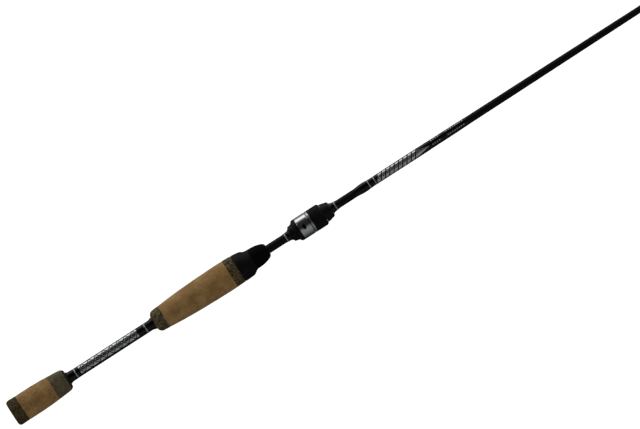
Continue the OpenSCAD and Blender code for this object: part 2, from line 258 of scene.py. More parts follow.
def make_burl():
    m = Mat("burl_cork")
    p = m.co()
    tone = m.attr("tone")
    calm = m.attr("calm")
    w = m.noise(p, 500, 2, out="Color")
    q = m.mix(0.0008, p, w, "ADD")
    cell = m.voronoi(q, 860, out="Color")
    cs = m.sep(cell)
    edge = m.voronoi(q, 860, "DISTANCE_TO_EDGE")
    base = m.ramp(cs[0], [(0.0, (0.020, 0.014, 0.006)), (0.30, BURL_A), (0.62, BURL_B), (0.90, BURL_D)])
    big = m.noise(p, 150, 3, 0.6)
    base = m.mix(m.rng(big, 0.40, 0.62, 0.0, 0.55), base, m.mix(1.0, base, (0.62, 0.66, 0.52), "MULTIPLY"))
    base = m.mix(m.rng(edge, 0.10, 0.0, 0.0, 0.6), base, BURL_C)
    fleck = m.math("MULTIPLY", m.rng(m.voronoi(m.vmap(p, (1, 1, 1), (3.1, 0.7, 1.9)), 420), 0.26, 0.12), m.rng(cs[1], 0.45, 0.55))
    base = m.mix(m.math("MULTIPLY", fleck, 0.9), base, (0.016, 0.011, 0.006))
    soft = m.mix(m.rng(big, 0.38, 0.62), (0.068, 0.060, 0.038), (0.142, 0.122, 0.066))
    base = m.mix(m.math("MULTIPLY", calm, 0.85), base, soft)
    dark = m.mix(1.0, base, (0.42, 0.34, 0.24), "MULTIPLY")
    col = m.mix(tone, base, dark)
    # painted shade on the front shoulder of the rear grip: the colour is darkened nearly to black where the rounded
    # shoulder turns away from the light
    px = m.sep(p)
    shoulder_shade = m.math("MULTIPLY", m.rng(m.math("ADD", px[0], m.math("MULTIPLY", m.math("SUBTRACT", big, 0.5), 0.0012)), 0.0640, 0.0647),
                  m.rng(px[0], 0.0680, 0.0675))
    # mix the painted shoulder shade into the burl colour
    col = m.mix(m.math("MULTIPLY", shoulder_shade, 0.88), col, (0.006, 0.006, 0.006))
    grain = m.noise(p, 2400, 3, 0.7)
    h = m.math("SUBTRACT", m.math("ADD", m.math("MULTIPLY", grain, 0.3), m.math("MULTIPLY", cs[0], 0.25)),
               m.math("ADD", m.math("MULTIPLY", fleck, 0.7), m.attr("pit")))
    m.set(Base_Color=col, Roughness=m.rng(cs[2], 0.0, 1.0, 0.70, 0.88), Normal=m.bump(h, 0.00014, 0.8))
    m.b.inputs["Specular IOR Level"].default_value = 0.25
    return m.m


def make_blank():
    """Matte graphite tube: spiral marks of the wrapping tape, faint carbon grain."""
    m = Mat("blank_graphite")
    p = m.co()
    uv = m.sep(m.uv())
    ph = m.math("ADD", m.math("MULTIPLY", uv[0], 1000.0 / 1.9), uv[1])
    spiral = m.math("PINGPONG", m.math("FRACT", ph), 0.5)
    long_ = m.noise(m.vmap(p, (0.10, 1, 1)), 900, 4, 0.6)
    speck = m.noise(p, 1800, 2, 0.5)
    base = m.mix(m.rng(long_, 0.3, 0.7), (0.0026, 0.0029, 0.0035), (0.0056, 0.0061, 0.0069))
    base = m.mix(m.rng(speck, 0.62, 0.78, 0.0, 0.5), base, (0.014, 0.0145, 0.0155))
    h = m.math("ADD", m.math("MULTIPLY", spiral, 0.9), m.math("MULTIPLY", speck, 0.12))
    m.set(Base_Color=base, Roughness=m.rng(long_, 0.25, 0.75, 0.44, 0.58), Normal=m.bump(h, 0.00004, 0.6))
    m.b.inputs["Specular IOR Level"].default_value = 0.20
    return m.m


def make_thread(name, base_a, base_b, metallic=0.0, pitch=0.24):
    """Wound thread under clear epoxy: the thread bumps the colour layer, the coat stays smooth."""
    m = Mat(name)
    p = m.co()
    uv = m.sep(m.uv())
    ph = m.math("ADD", m.math("MULTIPLY", uv[0], 1000.0 / pitch), uv[1])
    thr = m.math("SINE", m.math("MULTIPLY", ph, TAU))
    ply = m.noise(m.vmap(p, (1, 1, 1)), 2400, 2)
    base = m.mix(m.rng(thr, -1.0, 0.6), base_a, base_b)
    base = m.mix(m.rng(ply, 0.55, 0.75, 0.0, 0.4), base, m.mix(1.0, base, (0.5, 0.5, 0.5), "MULTIPLY"))
    m.set(Base_Color=base, Metallic=metallic, Roughness=m.rng(ply, 0.3, 0.7, 0.42, 0.6), Normal=m.bump(thr, 0.00005, 0.8))
    m.b.inputs["Specular IOR Level"].default_value = 0.0
    m.b.inputs["Coat Weight"].default_value = 1.0
    m.b.inputs["Coat Roughness"].default_value = 0.045
    m.b.inputs["Coat IOR"].default_value = 1.46
    wav = m.noise(p, 160, 2)
    m.put(m.b.inputs["Coat Normal"], m.bump(wav, 0.00012, 0.35))
    return m.m


def make_coat(name, kind):
    """Black blank under gloss epoxy with a generic inlaid pattern. UV: u = metres along the rod, v = turns from the -Z side."""
    m = Mat(name)
    p = m.co()
    uv = m.sep(m.uv())
    u = m.math("MULTIPLY", uv[0], 1000.0)  # millimetres along the rod
    # arc length from the middle of the band, in millimetres
    R = 5.4 if kind == "split" else 4.55
    mid = 0.47 if kind == "split" else 0.515
    a = m.math("MULTIPLY", m.math("SUBTRACT", uv[1], mid), TAU * R)
    aa = m.math("ABSOLUTE", a)
    wob = m.math("MULTIPLY", m.math("SUBTRACT", m.noise(p, 900, 2), 0.5), 0.28)
    if kind == "split":
        x0, pitch, n, half = 80.4, 8.6, 8, 4.6
        w = m.math("DIVIDE", m.math("SUBTRACT", u, x0), pitch)
        cell = m.math("FLOOR", w)
        f = m.math("SUBTRACT", w, cell)
        fx = m.math("MULTIPLY", m.math("ABSOLUTE", m.math("SUBTRACT", f, 0.5)), 2.0)  # 0 centre, 1 cell edge
        # a chain of diamonds with dark centres, and filled triangles between them
        av = m.math("ADD", m.math("DIVIDE", aa, half), m.math("MULTIPLY", wob, 0.15))
        d = m.math("ADD", fx, av)
        ringd = m.math("MULTIPLY", m.rng(d, 0.48, 0.54), m.rng(d, 0.90, 0.84))
        core = m.rng(d, 0.22, 0.17)
        corner = m.math("MULTIPLY", m.rng(d, 1.16, 1.22), m.rng(av, 0.98, 0.92))
        pat = m.math("MAXIMUM", m.math("MAXIMUM", ringd, core), corner, clamp=True)
        inside = m.math("MULTIPLY", m.math("GREATER_THAN", u, x0), m.math("LESS_THAN", u, x0 + n * pitch))
        pat = m.math("MULTIPLY", pat, inside)
        pat = m.math("MULTIPLY", pat, m.rng(aa, half + 0.1, half - 0.05))
        stripe = None
    else:
        # slanted bars that run together into a long point, then fine ticks
        sl = m.math("ADD", u, m.math("MULTIPLY", a, 0.62))
        w = m.math("FRACT", m.math("DIVIDE", m.math("SUBTRACT", sl, 434.0), 5.1))
        bars = m.math("MULTIPLY", m.rng(w, 0.06, 0.12), m.rng(w, 0.80, 0.74))
        slot_ = m.math("MULTIPLY", m.rng(m.math("ABSOLUTE", m.math("SUBTRACT", a, 0.2)), 0.55, 0.40), m.rng(m.math("ABSOLUTE", m.math("SUBTRACT", w, 0.43)), 0.17, 0.12))
        bars = m.math("MULTIPLY", bars, m.math("SUBTRACT", 1.0, slot_))
        bars = m.math("MULTIPLY", bars, m.math("MULTIPLY", m.math("GREATER_THAN", sl, 434.2), m.math("LESS_THAN", sl, 479.0)))
        bars = m.math("MULTIPLY", bars, m.rng(aa, 4.7, 4.5))
        point = m.math("MULTIPLY", m.math("GREATER_THAN", sl, 480.2), m.rng(m.math("ADD", m.math("DIVIDE", m.math("SUBTRACT", u, 481.0), 15.5), m.math("DIVIDE", aa, 3.4)), 1.0, 0.94))
        tw = m.math("FRACT", m.math("DIVIDE", m.math("SUBTRACT", u, 499.0), 2.6))
        rows = m.math("MAXIMUM", m.rng(m.math("ABSOLUTE", m.math("SUBTRACT", a, 0.7)), 0.75, 0.6), m.rng(m.math("ABSOLUTE", m.math("ADD", a, 4.6)), 1.0, 0.8))
        gap = m.math("MAXIMUM", m.math("LESS_THAN", u, 510.0), m.math("GREATER_THAN", u, 516.0))
        ticks = m.math("MULTIPLY", m.rng(tw, 0.12, 0.2), m.rng(tw, 0.62, 0.54))
        ticks = m.math("MULTIPLY", ticks, m.math("MULTIPLY", m.math("GREATER_THAN", u, 499.0), m.math("LESS_THAN", u, 537.0)))
        ticks = m.math("MULTIPLY", ticks, m.math("MULTIPLY", rows, gap))
        pat = m.math("MAXIMUM", m.math("MAXIMUM", bars, point), m.math("MULTIPLY", ticks, 0.6), clamp=True)
    foil = m.noise(m.vmap(p, (0.4, 1, 1)), 1500, 3, 0.7)
    silver = m.mix(m.rng(foil, 0.3, 0.7), (0.74, 0.78, 0.76), (0.96, 0.99, 0.97))
    black = m.mix(m.rng(m.noise(p, 700, 2), 0.3, 0.7), (0.0016, 0.0018, 0.0021), (0.0040, 0.0044, 0.0050))
    col = m.mix(pat, black, silver)
    m.set(Base_Color=col, Metallic=m.math("MULTIPLY", pat, 0.92), Roughness=m.rng(pat, 0, 1, 0.38, 0.24),
          Normal=m.bump(m.math("MULTIPLY", pat, 0.5), 0.00004, 0.5))
    m.b.inputs["Specular IOR Level"].default_value = 0.0
    m.b.inputs["Coat Weight"].default_value = 1.0
    m.b.inputs["Coat Roughness"].default_value = 0.035
    m.b.inputs["Coat IOR"].default_value = 1.46
    m.put(m.b.inputs["Coat Normal"], m.bump(m.noise(p, 120, 2), 0.00012, 0.3))
    return m.m


def make_plastic(name, a, b, rough=(0.42, 0.58), spec=0.5, grain=2600, depth=0.00003, strength=0.5):
    """Moulded plastic with a spark-eroded grain."""
    m = Mat(name)
    p = m.co()
    g = m.voronoi(p, grain * 0.7, "SMOOTH_F1")
    n = m.noise(p, grain, 3, 0.6)
    big = m.noise(p, 130, 3, 0.6)
    base = m.mix(m.rng(big, 0.35, 0.65), a, b)
    rub = m.attr("worn")
    base = m.mix(m.math("MULTIPLY", rub, 0.6), base, m.mix(1.0, base, (1.9, 1.9, 1.9), "MULTIPLY"))
    h = m.math("ADD", m.math("MULTIPLY", g, 0.6), m.math("MULTIPLY", n, 0.4))
    r = m.rng(m.math("ADD", m.math("MULTIPLY", big, 0.6), m.math("MULTIPLY", n, 0.4)), 0.35, 0.65, rough[0], rough[1])
    m.set(Base_Color=base, Roughness=r, Normal=m.bump(h, depth, strength))
    m.b.inputs["Specular IOR Level"].default_value = spec
    return m.m


def make_metal(name, a, b, rough=(0.10, 0.2), turn=True, aniso=0.0, spot=None):
    """Polished metal with fine turning marks round it and light handling marks."""
    m = Mat(name)
    p = m.co()
    uv = m.sep(m.uv())
    marks = m.noise(m.comb(m.math("MULTIPLY", uv[0], 9000.0), m.math("MULTIPLY", uv[1], 2.0), 0.0), 1.0, 3, 0.6)
    smear = m.noise(p, 260, 3, 0.65)
    scr = m.noise(m.vmap(p, (1, 0.12, 1), rot=(0.3, 0.2, 0.9)), 2400, 2)
    base = m.mix(m.rng(smear, 0.3, 0.7), a, b)
    r = m.rng(m.math("ADD", m.math("MULTIPLY", smear, 0.5), m.math("MULTIPLY", marks if turn else scr, 0.5)), 0.35, 0.65, rough[0], rough[1])
    if spot is not None:
        # a plain dark oval on the +Z side
        c = m.sep(p)
        ex = m.math("DIVIDE", m.math("SUBTRACT", c[0], spot[0]), spot[2])
        ey = m.math("DIVIDE", m.math("SUBTRACT", c[1], spot[1]), spot[3])
        q = m.math("ADD", m.math("MULTIPLY", ex, ex), m.math("MULTIPLY", ey, ey))
        on = m.math("MULTIPLY", m.rng(q, 1.15, 0.85), m.math("GREATER_THAN", c[2], 0.0))
        base = m.mix(on, base, (0.006, 0.008, 0.007))
    m.set(Base_Color=base, Metallic=1.0, Roughness=r, Normal=m.bump(marks if turn else scr, 0.000006, 0.35))
    m.b.inputs["Anisotropic"].default_value = aniso
    return m.m


def make_ceramic():
    m = Mat("guide_ceramic")
    p = m.co()
    n = m.noise(p, 1400, 2)
    m.set(Base_Color=m.mix(n, (0.030, 0.033, 0.038), (0.055, 0.06, 0.068)), Roughness=m.rng(n, 0.3, 0.7, 0.10, 0.16))
    m.b.inputs["Specular IOR Level"].default_value = 0.7
    return m.m


CORK = make_cork()
BURL = make_burl()
BLANK = make_blank()
THREAD = make_thread("thread_black", (0.0008, 0.0009, 0.0011), (0.0045, 0.0047, 0.0052))
BAND = make_thread("thread_silver", (0.30, 0.31, 0.32), (0.80, 0.81, 0.82), metallic=0.6, pitch=0.27)
COAT_A = make_coat("epoxy_split", "split")
COAT_B = make_coat("epoxy_fore", "fore")
NYLON = make_plastic("seat_nylon", (0.0022, 0.0025, 0.0032), (0.0040, 0.0045, 0.0054), (0.42, 0.54), 0.24)
CORE_M = make_plastic("hood_nylon", (0.0020, 0.0022, 0.0026), (0.0034, 0.0037, 0.0042), (0.66, 0.80), 0.06)
COLLAR_M = make_plastic("collar_nylon", (0.0030, 0.0034, 0.0038), (0.0058, 0.0064, 0.0070), (0.44, 0.56), 0.28)
SOFT = make_plastic("soft_touch", (0.0036, 0.0038, 0.0036), (0.0070, 0.0073, 0.0070), (0.54, 0.68), 0.20, 3200, 0.00002, 0.4)
LINER = make_plastic("liner_pad", (0.012, 0.012, 0.013), (0.020, 0.020, 0.021), (0.7, 0.85), 0.25)
FOAM = make_plastic("arbor_foam", (0.16, 0.165, 0.17), (0.24, 0.245, 0.25), (0.8, 0.95), 0.2, 1500, 0.0001, 0.8)
CHECK = make_plastic("winding_check", (0.004, 0.004, 0.0045), (0.008, 0.008, 0.0085), (0.36, 0.5), 0.45)
CHROME = make_metal("polished_sleeve", (0.80, 0.84, 0.82), (0.90, 0.94, 0.92), (0.07, 0.13), aniso=0.3, spot=(0.3470, -0.0008, 0.0018, 0.0027))
TRIM = make_metal("trim_metal", (0.58, 0.59, 0.59), (0.70, 0.71, 0.71), (0.26, 0.34))
FRAME_M = make_metal("guide_steel", (0.055, 0.057, 0.062), (0.085, 0.088, 0.094), (0.20, 0.32), turn=False)
CERAMIC = make_ceramic()

# ---------------------------------------------------------------- geometry helpers


def interp(table, x):
    return np.interp(x, [t[0] for t in table], [t[1] for t in table])


def smooth_table(table, x):
    """Monotone cubic through the table's points (Fritsch-Carlson)."""
    X = np.array([t[0] for t in table], float)
    Y = np.array([t[1] for t in table], float)
    h = np.diff(X)
    d = np.diff(Y) / h
    mm = np.zeros_like(Y)
    mm[0], mm[-1] = d[0], d[-1]
    for i in range(1, len(X) - 1):
        if d[i - 1] * d[i] > 0:
            w1, w2 = 2 * h[i] + h[i - 1], h[i] + 2 * h[i - 1]
            mm[i] = (w1 + w2) / (w1 / d[i - 1] + w2 / d[i])
    x = np.clip(np.asarray(x, float), X[0], X[-1])
    k = np.clip(np.searchsorted(X, x) - 1, 0, len(h) - 1)
    t = (x - X[k]) / h[k]
    return ((2 * t**3 - 3 * t**2 + 1) * Y[k] + (t**3 - 2 * t**2 + t) * h[k] * mm[k]
            + (-2 * t**3 + 3 * t**2) * Y[k + 1] + (t**3 - t**2) * h[k] * mm[k + 1])


DTAB = [[0, 10.9], [306, 9.09], [396, 8.64], [546, 8.2], [600, 7.95], [720, 7.12], [840, 6.2],
        [960, 5.0], [1080, 3.5], [1160, 2.5], [1213, 1.9]]


def rb(x):
    return interp(DTAB, x) / 2


def fillet(pts, steps=5):
    """Polyline of (x, r[, corner radius]) with its corners rounded."""
    out = []
    n = len(pts)
    for i, p in enumerate(pts):
        rad = p[2] if len(p) > 2 else 0
        if rad <= 0 or i == 0 or i == n - 1:
            out.append((p[0], p[1]))
            continue
        a, b, c = (np.array(q[:2], float) for q in (pts[i - 1], p, pts[i + 1]))
        u, v = a - b, c - b
        lu, lv = np.linalg.norm(u), np.linalg.norm(v)
        u, v = u / lu, v / lv
        ang = math.acos(max(-1, min(1, float(u @ v))))
        if ang > math.pi - 0.02:
            out.append((p[0], p[1]))
            continue
        cut = min(rad / math.tan(ang / 2), lu * 0.48, lv * 0.48)
        r = cut * math.tan(ang / 2)
        bis = (u + v) / np.linalg.norm(u + v)
        cen = b + bis * (r / math.sin(ang / 2))
        s, e = b + u * cut, b + v * cut
        a0 = math.atan2(*(s - cen)[::-1])
        a1 = math.atan2(*(e - cen)[::-1])
        da = (a1 - a0 + math.pi) % TAU - math.pi
        for k in range(steps + 1):
            t = a0 + da * k / steps
            out.append((cen[0] + r * math.cos(t), cen[1] + r * math.sin(t)))
    return out


def resample(path, step, keep=True):
    """Add points so that no segment is longer than step."""
    out = [path[0]]
    for a, b in zip(path, path[1:]):
        n = max(1, int(math.ceil(math.dist(a, b) / step)))
        for k in range(1, n + 1):
            out.append((a[0] + (b[0] - a[0]) * k / n, a[1] + (b[1] - a[1]) * k / n))
    return out


def finish_mesh(o, mat, sharp=38.0):
    me = o.data
    me.materials.clear()
    me.materials.append(mat)
    me.polygons.foreach_set("use_smooth", [True] * len(me.polygons))
    me.set_sharp_from_angle(angle=math.radians(sharp))
    me.update()
    return o


def new_object(name, verts, faces, mat, sharp=38.0, recalc=False):
    me = bpy.data.meshes.new(name)
    me.from_pydata([tuple(v) for v in verts], [], faces)
    me.validate()
    if recalc:
        bm = bmesh.new()
        bm.from_mesh(me)
        bmesh.ops.recalc_face_normals(bm, faces=bm.faces)
        bm.to_mesh(me)
        bm.free()
    o = bpy.data.objects.new(name, me)
    bpy.context.scene.collection.objects.link(o)
    return finish_mesh(o, mat, sharp)


def turned(name, outer, inner, mat, seg=96, radial=None, sharp=38.0, attrs=None, axis_z=0.0, angles=None):
    """Closed turned solid about the rod axis (or one parallel to it at z = axis_z mm).
    outer and inner are [(x, r)] in mm with the same first and last x order. radial(X, A, R) may
    change the outer radius; A is the angle round the rod, 0 at -Z and pi at +Z."""
    path = list(outer) + [p for p in reversed(inner)]
    n_out = len(outer)
    x = np.array([p[0] for p in path])
    r = np.array([p[1] for p in path])
    A = np.array(angles) if angles is not None else np.arange(seg) * TAU / seg
    seg = len(A)
    X = np.repeat(x[:, None], seg, 1)
    R = np.repeat(r[:, None], seg, 1)
    AA = np.repeat(A[None, :], len(x), 0)
    if radial is not None:
        res = radial(X[:n_out], AA[:n_out], R[:n_out])
        if isinstance(res, tuple):
            R[:n_out], extra = res
        else:
            R[:n_out], extra = res, None
    else:
        extra = None
    Y = R * np.sin(AA)
    Z = -R * np.cos(AA) + axis_z
    V = np.stack([X, Y, Z], -1).reshape(-1, 3) * MM
    n = len(x)
    faces = []
    uvs = []
    Af = np.append(A, A[0] + TAU) / TAU
    for i in range(n):
        j = (i + 1) % n
        for k in range(seg):
            l = (k + 1) % seg
            faces.append((i * seg + k, j * seg + k, j * seg + l, i * seg + l))
            uvs.extend(((x[i] * MM, Af[k]), (x[j] * MM, Af[k]), (x[j] * MM, Af[k + 1]), (x[i] * MM, Af[k + 1])))
    me = bpy.data.meshes.new(name)
    me.from_pydata(V.tolist(), [], faces)
    uvl = me.uv_layers.new(name="UVMap")
    uvl.data.foreach_set("uv", np.array(uvs, np.float32).ravel())
    for key, val in (attrs or {}).items():
        at = me.attributes.new(key, "FLOAT", "POINT")
        at.data.foreach_set("value", np.full(n * seg, float(val), np.float32))
    if extra is not None:
        for key, arr in extra.items():
            full = np.zeros((n, seg), np.float32)
            full[:n_out] = arr
            at = me.attributes.get(key) or me.attributes.new(key, "FLOAT", "POINT")
            at.data.foreach_set("value", full.ravel())
    o = bpy.data.objects.new(name, me)
    bpy.context.scene.collection.objects.link(o)
    finish_mesh(o, mat, sharp)
    # faces point outwards
    bm = bmesh.new()
    bm.from_mesh(me)
    if bm.calc_volume(signed=True) < 0:
        bmesh.ops.reverse_faces(bm, faces=bm.faces)
        bm.to_mesh(me)
    bm.free()
    return o


def bore(x0, x1, gap=0.03):
    """Inner path that follows the blank from x0 to x1."""
    xs = [x0] + [t[0] for t in DTAB if x0 < t[0] < x1] + [x1]
    return [(v, float(rb(v)) + gap) for v in xs]


def place(o, body, *nodes, slot=None):
    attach(o, body)
    if nodes:
        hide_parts(*nodes)
    return o


# ---------------------------------------------------------------- blank

xs = sorted(set([4.0, 1213.0] + [t[0] for t in DTAB if 4 < t[0] < 1213] + list(np.arange(10, 1213, 6.0))))
outer = [(x, float(rb(x))) for x in xs]
inner = [(x, max(0.35, float(rb(x)) - (1.25 - 0.75 * x / 1219))) for x in xs]
place(turned("rod_blank", outer, inner, BLANK, 64), "rod", "blank", slot="blank")

# ---------------------------------------------------------------- cork and burl rings

RGRIP = [[0, 13.2], [2.6, 13.9], [4, 14.0], [12, 13.88], [28, 13.88], [34, 13.7], [40, 13.5], [48.5, 12.9],
         [56, 12.35], [60, 12.0], [61.5, 11.85], [63, 11.57], [64.5, 10.87], [65.6, 10.05], [66.1, 9.5], [66.4, 8.6]]
MGRIP = [[168.5, 7.2], [169, 8.5], [169.5, 9.28], [170, 9.9], [171, 10.87], [172, 11.35], [173.2, 11.62],
         [176, 11.9], [180.4, 12.2], [188, 12.83], [196, 13.46], [204, 13.95], [212, 14.32], [220, 14.64],
         [236, 15.02], [252, 15.25], [260, 15.16], [268.3, 14.88]]


def cork_surface(seed, pits, depth=0.22, size=(0.35, 1.5), wave=0.035, groove=0.10, cracks=()):
    """Radial relief of a sanded cork ring: slight waviness, pores and cracks, eased edges at the glue lines."""
    def radial(X, A, R):
        rng = np.random.default_rng(seed)
        x0, x1 = X.min(), X.max()
        d = np.zeros_like(X)
        for _ in range(10):
            kx, ka = rng.uniform(0.05, 0.5), rng.integers(1, 9)
            d += wave / 3.5 * np.sin(kx * (X - x0) + ka * A + rng.uniform(0, TAU))
        pit = np.zeros_like(X)
        for _ in range(pits):
            cx, ca = rng.uniform(x0, x1), rng.uniform(0, TAU)
            la = rng.uniform(*size) * 0.5
            lb = la * rng.uniform(0.18, 0.6)
            th = rng.normal(math.pi / 2, 0.7)
            rr = R.mean()
            du = X - cx
            dv = ((A - ca + math.pi) % TAU - math.pi) * rr
            dv = dv + 0.25 * np.sin(du * 3.0 + ca * 9)
            a_ = du * math.cos(th) + dv * math.sin(th)
            b_ = -du * math.sin(th) + dv * math.cos(th)
            q = np.sqrt((a_ / la) ** 2 + (b_ / lb) ** 2)
            pit = np.maximum(pit, np.clip(1.25 - q, 0, 1))
        pit = pit ** 1.4
        for cx, cy, la, lb, th in cracks:  # centre x, y on the +Z side, half sizes and slant
            du = X - cx
            dv = R * np.sin(A) - cy
            a_ = du * math.cos(th) + dv * math.sin(th)
            b_ = -du * math.sin(th) + dv * math.cos(th) + 0.15 * np.sin(a_ * 2.4)
            q = np.sqrt((a_ / la) ** 2 + (b_ / lb) ** 2)
            pit = np.maximum(pit, np.where(np.cos(A) < 0, np.clip(1.4 - q, 0, 1), 0))
        # slightly eased edges where two rings meet
        e = np.minimum(X - x0, x1 - X)
        ease = groove * np.clip(1 - e / 0.28, 0, 1) ** 2
        return np.minimum(R + np.where(e > 0.02, d, 0) - depth * pit - ease, 15.245), {"pit": pit}
    return radial


def ring_paths(table, x0, x1, step=0.42, bore_r=None, inner=None):
    n = max(2, int(round((x1 - x0) / step)))
    X = np.linspace(x0, x1, n + 1)
    R = smooth_table(table, X)
    outer = [(float(a), float(b)) for a, b in zip(X, R)]
    if inner is None:
        inner = [(x0, bore_r), (x1, bore_r)] if bore_r else bore(x0, x1)
    return outer, inner


def cork_ring(name, table, x0, x1, mat, seed, tone, pits, bore_r=None, node=None, slot=None, seg=208, calm=0.0, **kw):
    o, i = ring_paths(table, x0, x1, bore_r=bore_r)
    ob = turned(name, o, i, mat, seg, cork_surface(seed, pits, **kw), attrs={"tone": tone, "pit": 0.0, "calm": calm})
    return place(ob, "rod", node, slot=slot)


GL = 0.03
# butt ring: slightly domed end face with a rounded rim
dome = [(0.0, 0.02), (0.0, 4), (0.0, 8), (0.02, 10.6), (0.12, 11.5), (0.35, 12.25), (0.75, 12.95), (1.3, 13.45), (2.0, 13.75), (2.6, 13.88)]
rim = resample(dome, 0.6)
body_pts, _ = ring_paths(RGRIP, 2.6, 12 - GL)
outer = rim + body_pts[1:]


def butt_relief(X, A, R):
    Rn, ex = cork_surface(11, 60, 0.16, (0.3, 1.1), 0.03)(X, A, R)
    on = X > 2.7
    return np.where(on, Rn, R), {"pit": np.where(on, ex["pit"], 0)}


butt = turned("butt_ring_burl", outer, [(3.97, 0.02), (3.98, float(rb(4)) + 0.03), (12 - GL, float(rb(12)) + 0.03)], BURL, 208, butt_relief, attrs={"tone": 0.86, "pit": 0.0, "calm": 0.25})
place(butt, "rod", "butt_ring", slot="burl_cork")

# pits and cracks on the +Z side of the three rings: centre x, y, half sizes and slant
CRACKS = (((21.2, -0.6, 2.9, 0.34, math.radians(100)), (19.2, 7.2, 1.1, 0.45, math.radians(35)), (18.4, 9.1, 0.7, 0.3, 0.4),
           (14.5, 6.6, 0.6, 0.35, 1.2), (18.6, 5.0, 0.5, 0.25, 0.3)),
          ((33.5, -8.2, 0.8, 0.3, 0.6),),
          ((44.5, -8.9, 1.5, 0.3, 0.3), (41.0, 4.6, 0.6, 0.3, 1.0)))
for k in range(3):
    cork_ring(f"rear_cork_{k + 1}", RGRIP, 12 + 12.17 * k + GL, 12 + 12.17 * (k + 1) - GL, CORK, 21 + k,
              (0.20, 0.38, 0.30)[k], (34, 22, 20)[k], node="rear_grip_cork", slot="cork", cracks=CRACKS[k])
cork_ring("rear_burl_front", RGRIP, 48.51 + GL, 66.4, BURL, 31, 0.0, 30, node="rear_grip_front_ring", slot="burl_cork",
          depth=0.12, size=(0.3, 0.9), calm=0.85)
CORK_X, PITCH = 180.4, 13.05
cork_ring("main_burl_rear", MGRIP, 168.5, CORK_X - GL, BURL, 32, 0.22, 60, node="main_grip_rear_ring", slot="burl_cork",
          depth=0.16, size=(0.3, 1.1))
for k in range(6):
    cork_ring(f"main_cork_{k + 1}", MGRIP, CORK_X + PITCH * k + GL, CORK_X + PITCH * (k + 1) - GL, CORK, 41 + k,
              (0.10, 0.0, 0.20, 0.05, 0.26, 0.10)[k], (14, 10, 16, 12, 14, 12)[k],
              bore_r=8.03 if k > 3 else None, node="main_grip_cork", slot="cork")
cork_ring("main_burl_front", MGRIP, CORK_X + 6 * PITCH + GL, 268.2, BURL, 51, 0.48, 80, bore_r=8.03, node="main_grip_front_ring",
          slot="burl_cork", depth=0.18, size=(0.3, 1.2))

# ---------------------------------------------------------------- split stretch

place(turned("rear_check", fillet([(66.5, 5.6), (66.5, 6.3, 0.15), (66.8, 6.45, 0.2), (67.8, 6.4, 0.3), (68.1, 5.7)]),
             [(66.5, 5.59), (68.1, 5.58)], CHECK, 96), "rod", "rear_winding_check", slot="winding_check")


def sleeve(name, pts, mat, node, slot, seg=96, step=1.2, edge=0.10, body="rod"):
    """Sleeve on the blank with eased ends; pts are (x, r)."""
    x0, x1 = pts[0][0], pts[-1][0]
    n = max(2, int((x1 - x0) / min(step, (x1 - x0) / 6)))
    X = np.linspace(x0, x1, n + 1)
    R = smooth_table(pts, X) if len(pts) > 2 else interp(pts, X)
    o = [(float(x0), float(R[0] - edge))] + [(float(a), float(b)) for a, b in zip(X[:1] + edge * 0.5, R[:1])] \
        + [(float(a), float(b)) for a, b in zip(X[1:-1], R[1:-1])] \
        + [(float(x1 - edge * 0.5), float(R[-1])), (float(x1), float(R[-1] - edge))]
    return place(turned(name, o, bore(x0, x1, 0.01), mat, seg), body, node, slot=slot)


sleeve("split_wrap_rear", [(68.15, 5.75), (70, 5.68), (74, 5.5), (74.95, 5.45)], THREAD, "split_rear_wrap", "thread_wrap", edge=0.02)
sleeve("split_band_rear", [(74.98, 5.46), (76.08, 5.46)], BAND, "split_rear_band", "trim_band", edge=0.02)
sleeve("split_epoxy", [(76.1, 5.45), (80, 5.38), (120, 5.4), (156, 5.4), (158.12, 5.44)], COAT_A, "split_coat", "epoxy_coat", edge=0.01, step=1.0, seg=128)
sleeve("split_band_front", [(158.14, 5.45), (159.26, 5.45)], BAND, "split_front_band", "trim_band", edge=0.02)
sleeve("split_wrap_front", [(159.28, 5.45), (162, 5.35), (164, 5.45), (165, 5.66), (166, 5.92), (167.2, 6.35), (168.4, 6.7)], THREAD, "split_front_wrap", "thread_wrap", edge=0.02, step=0.5)

# ---------------------------------------------------------------- reel seat


def d_polar(A, hw, zb, p=7.0):
    """Distance from the axis to a rounded block below it; A = 0 points to -Z. Zero above the axis."""
    c, s = np.cos(A), np.abs(np.sin(A))
    c = np.maximum(c, 1e-6)
    r = ((s / hw) ** p + (c / zb) ** p) ** (-1.0 / p)
    return np.where(np.cos(A) > 0.05, r, 0.0)


def smax(a, b, k=0.6):
    """Smooth maximum with a blend of about k mm."""
    h = np.clip(0.5 + 0.5 * (a - b) / k, 0, 1)
    return a * h + b * (1 - h) + k * h * (1 - h)


def step_in(X, x0, w):
    t = np.clip((X - x0) / w, 0, 1)
    return t * t * (3 - 2 * t)


def box_object(name, lo, hi, bevel=0.0, seg=3):
    bm = bmesh.new()
    bmesh.ops.create_cube(bm, size=1.0)
    lo, hi = Vector(lo) * MM, Vector(hi) * MM
    for v in bm.verts:
        v.co = Vector(((lo[i] + hi[i]) / 2 + v.co[i] * (hi[i] - lo[i]) for i in range(3)))
    if bevel:
        bmesh.ops.bevel(bm, geom=bm.edges[:], offset=bevel * MM, segments=seg, profile=0.5, affect="EDGES")
    me = bpy.data.meshes.new(name)
    bm.to_mesh(me)
    bm.free()
    o = bpy.data.objects.new(name, me)
    bpy.context.scene.collection.objects.link(o)
    return o


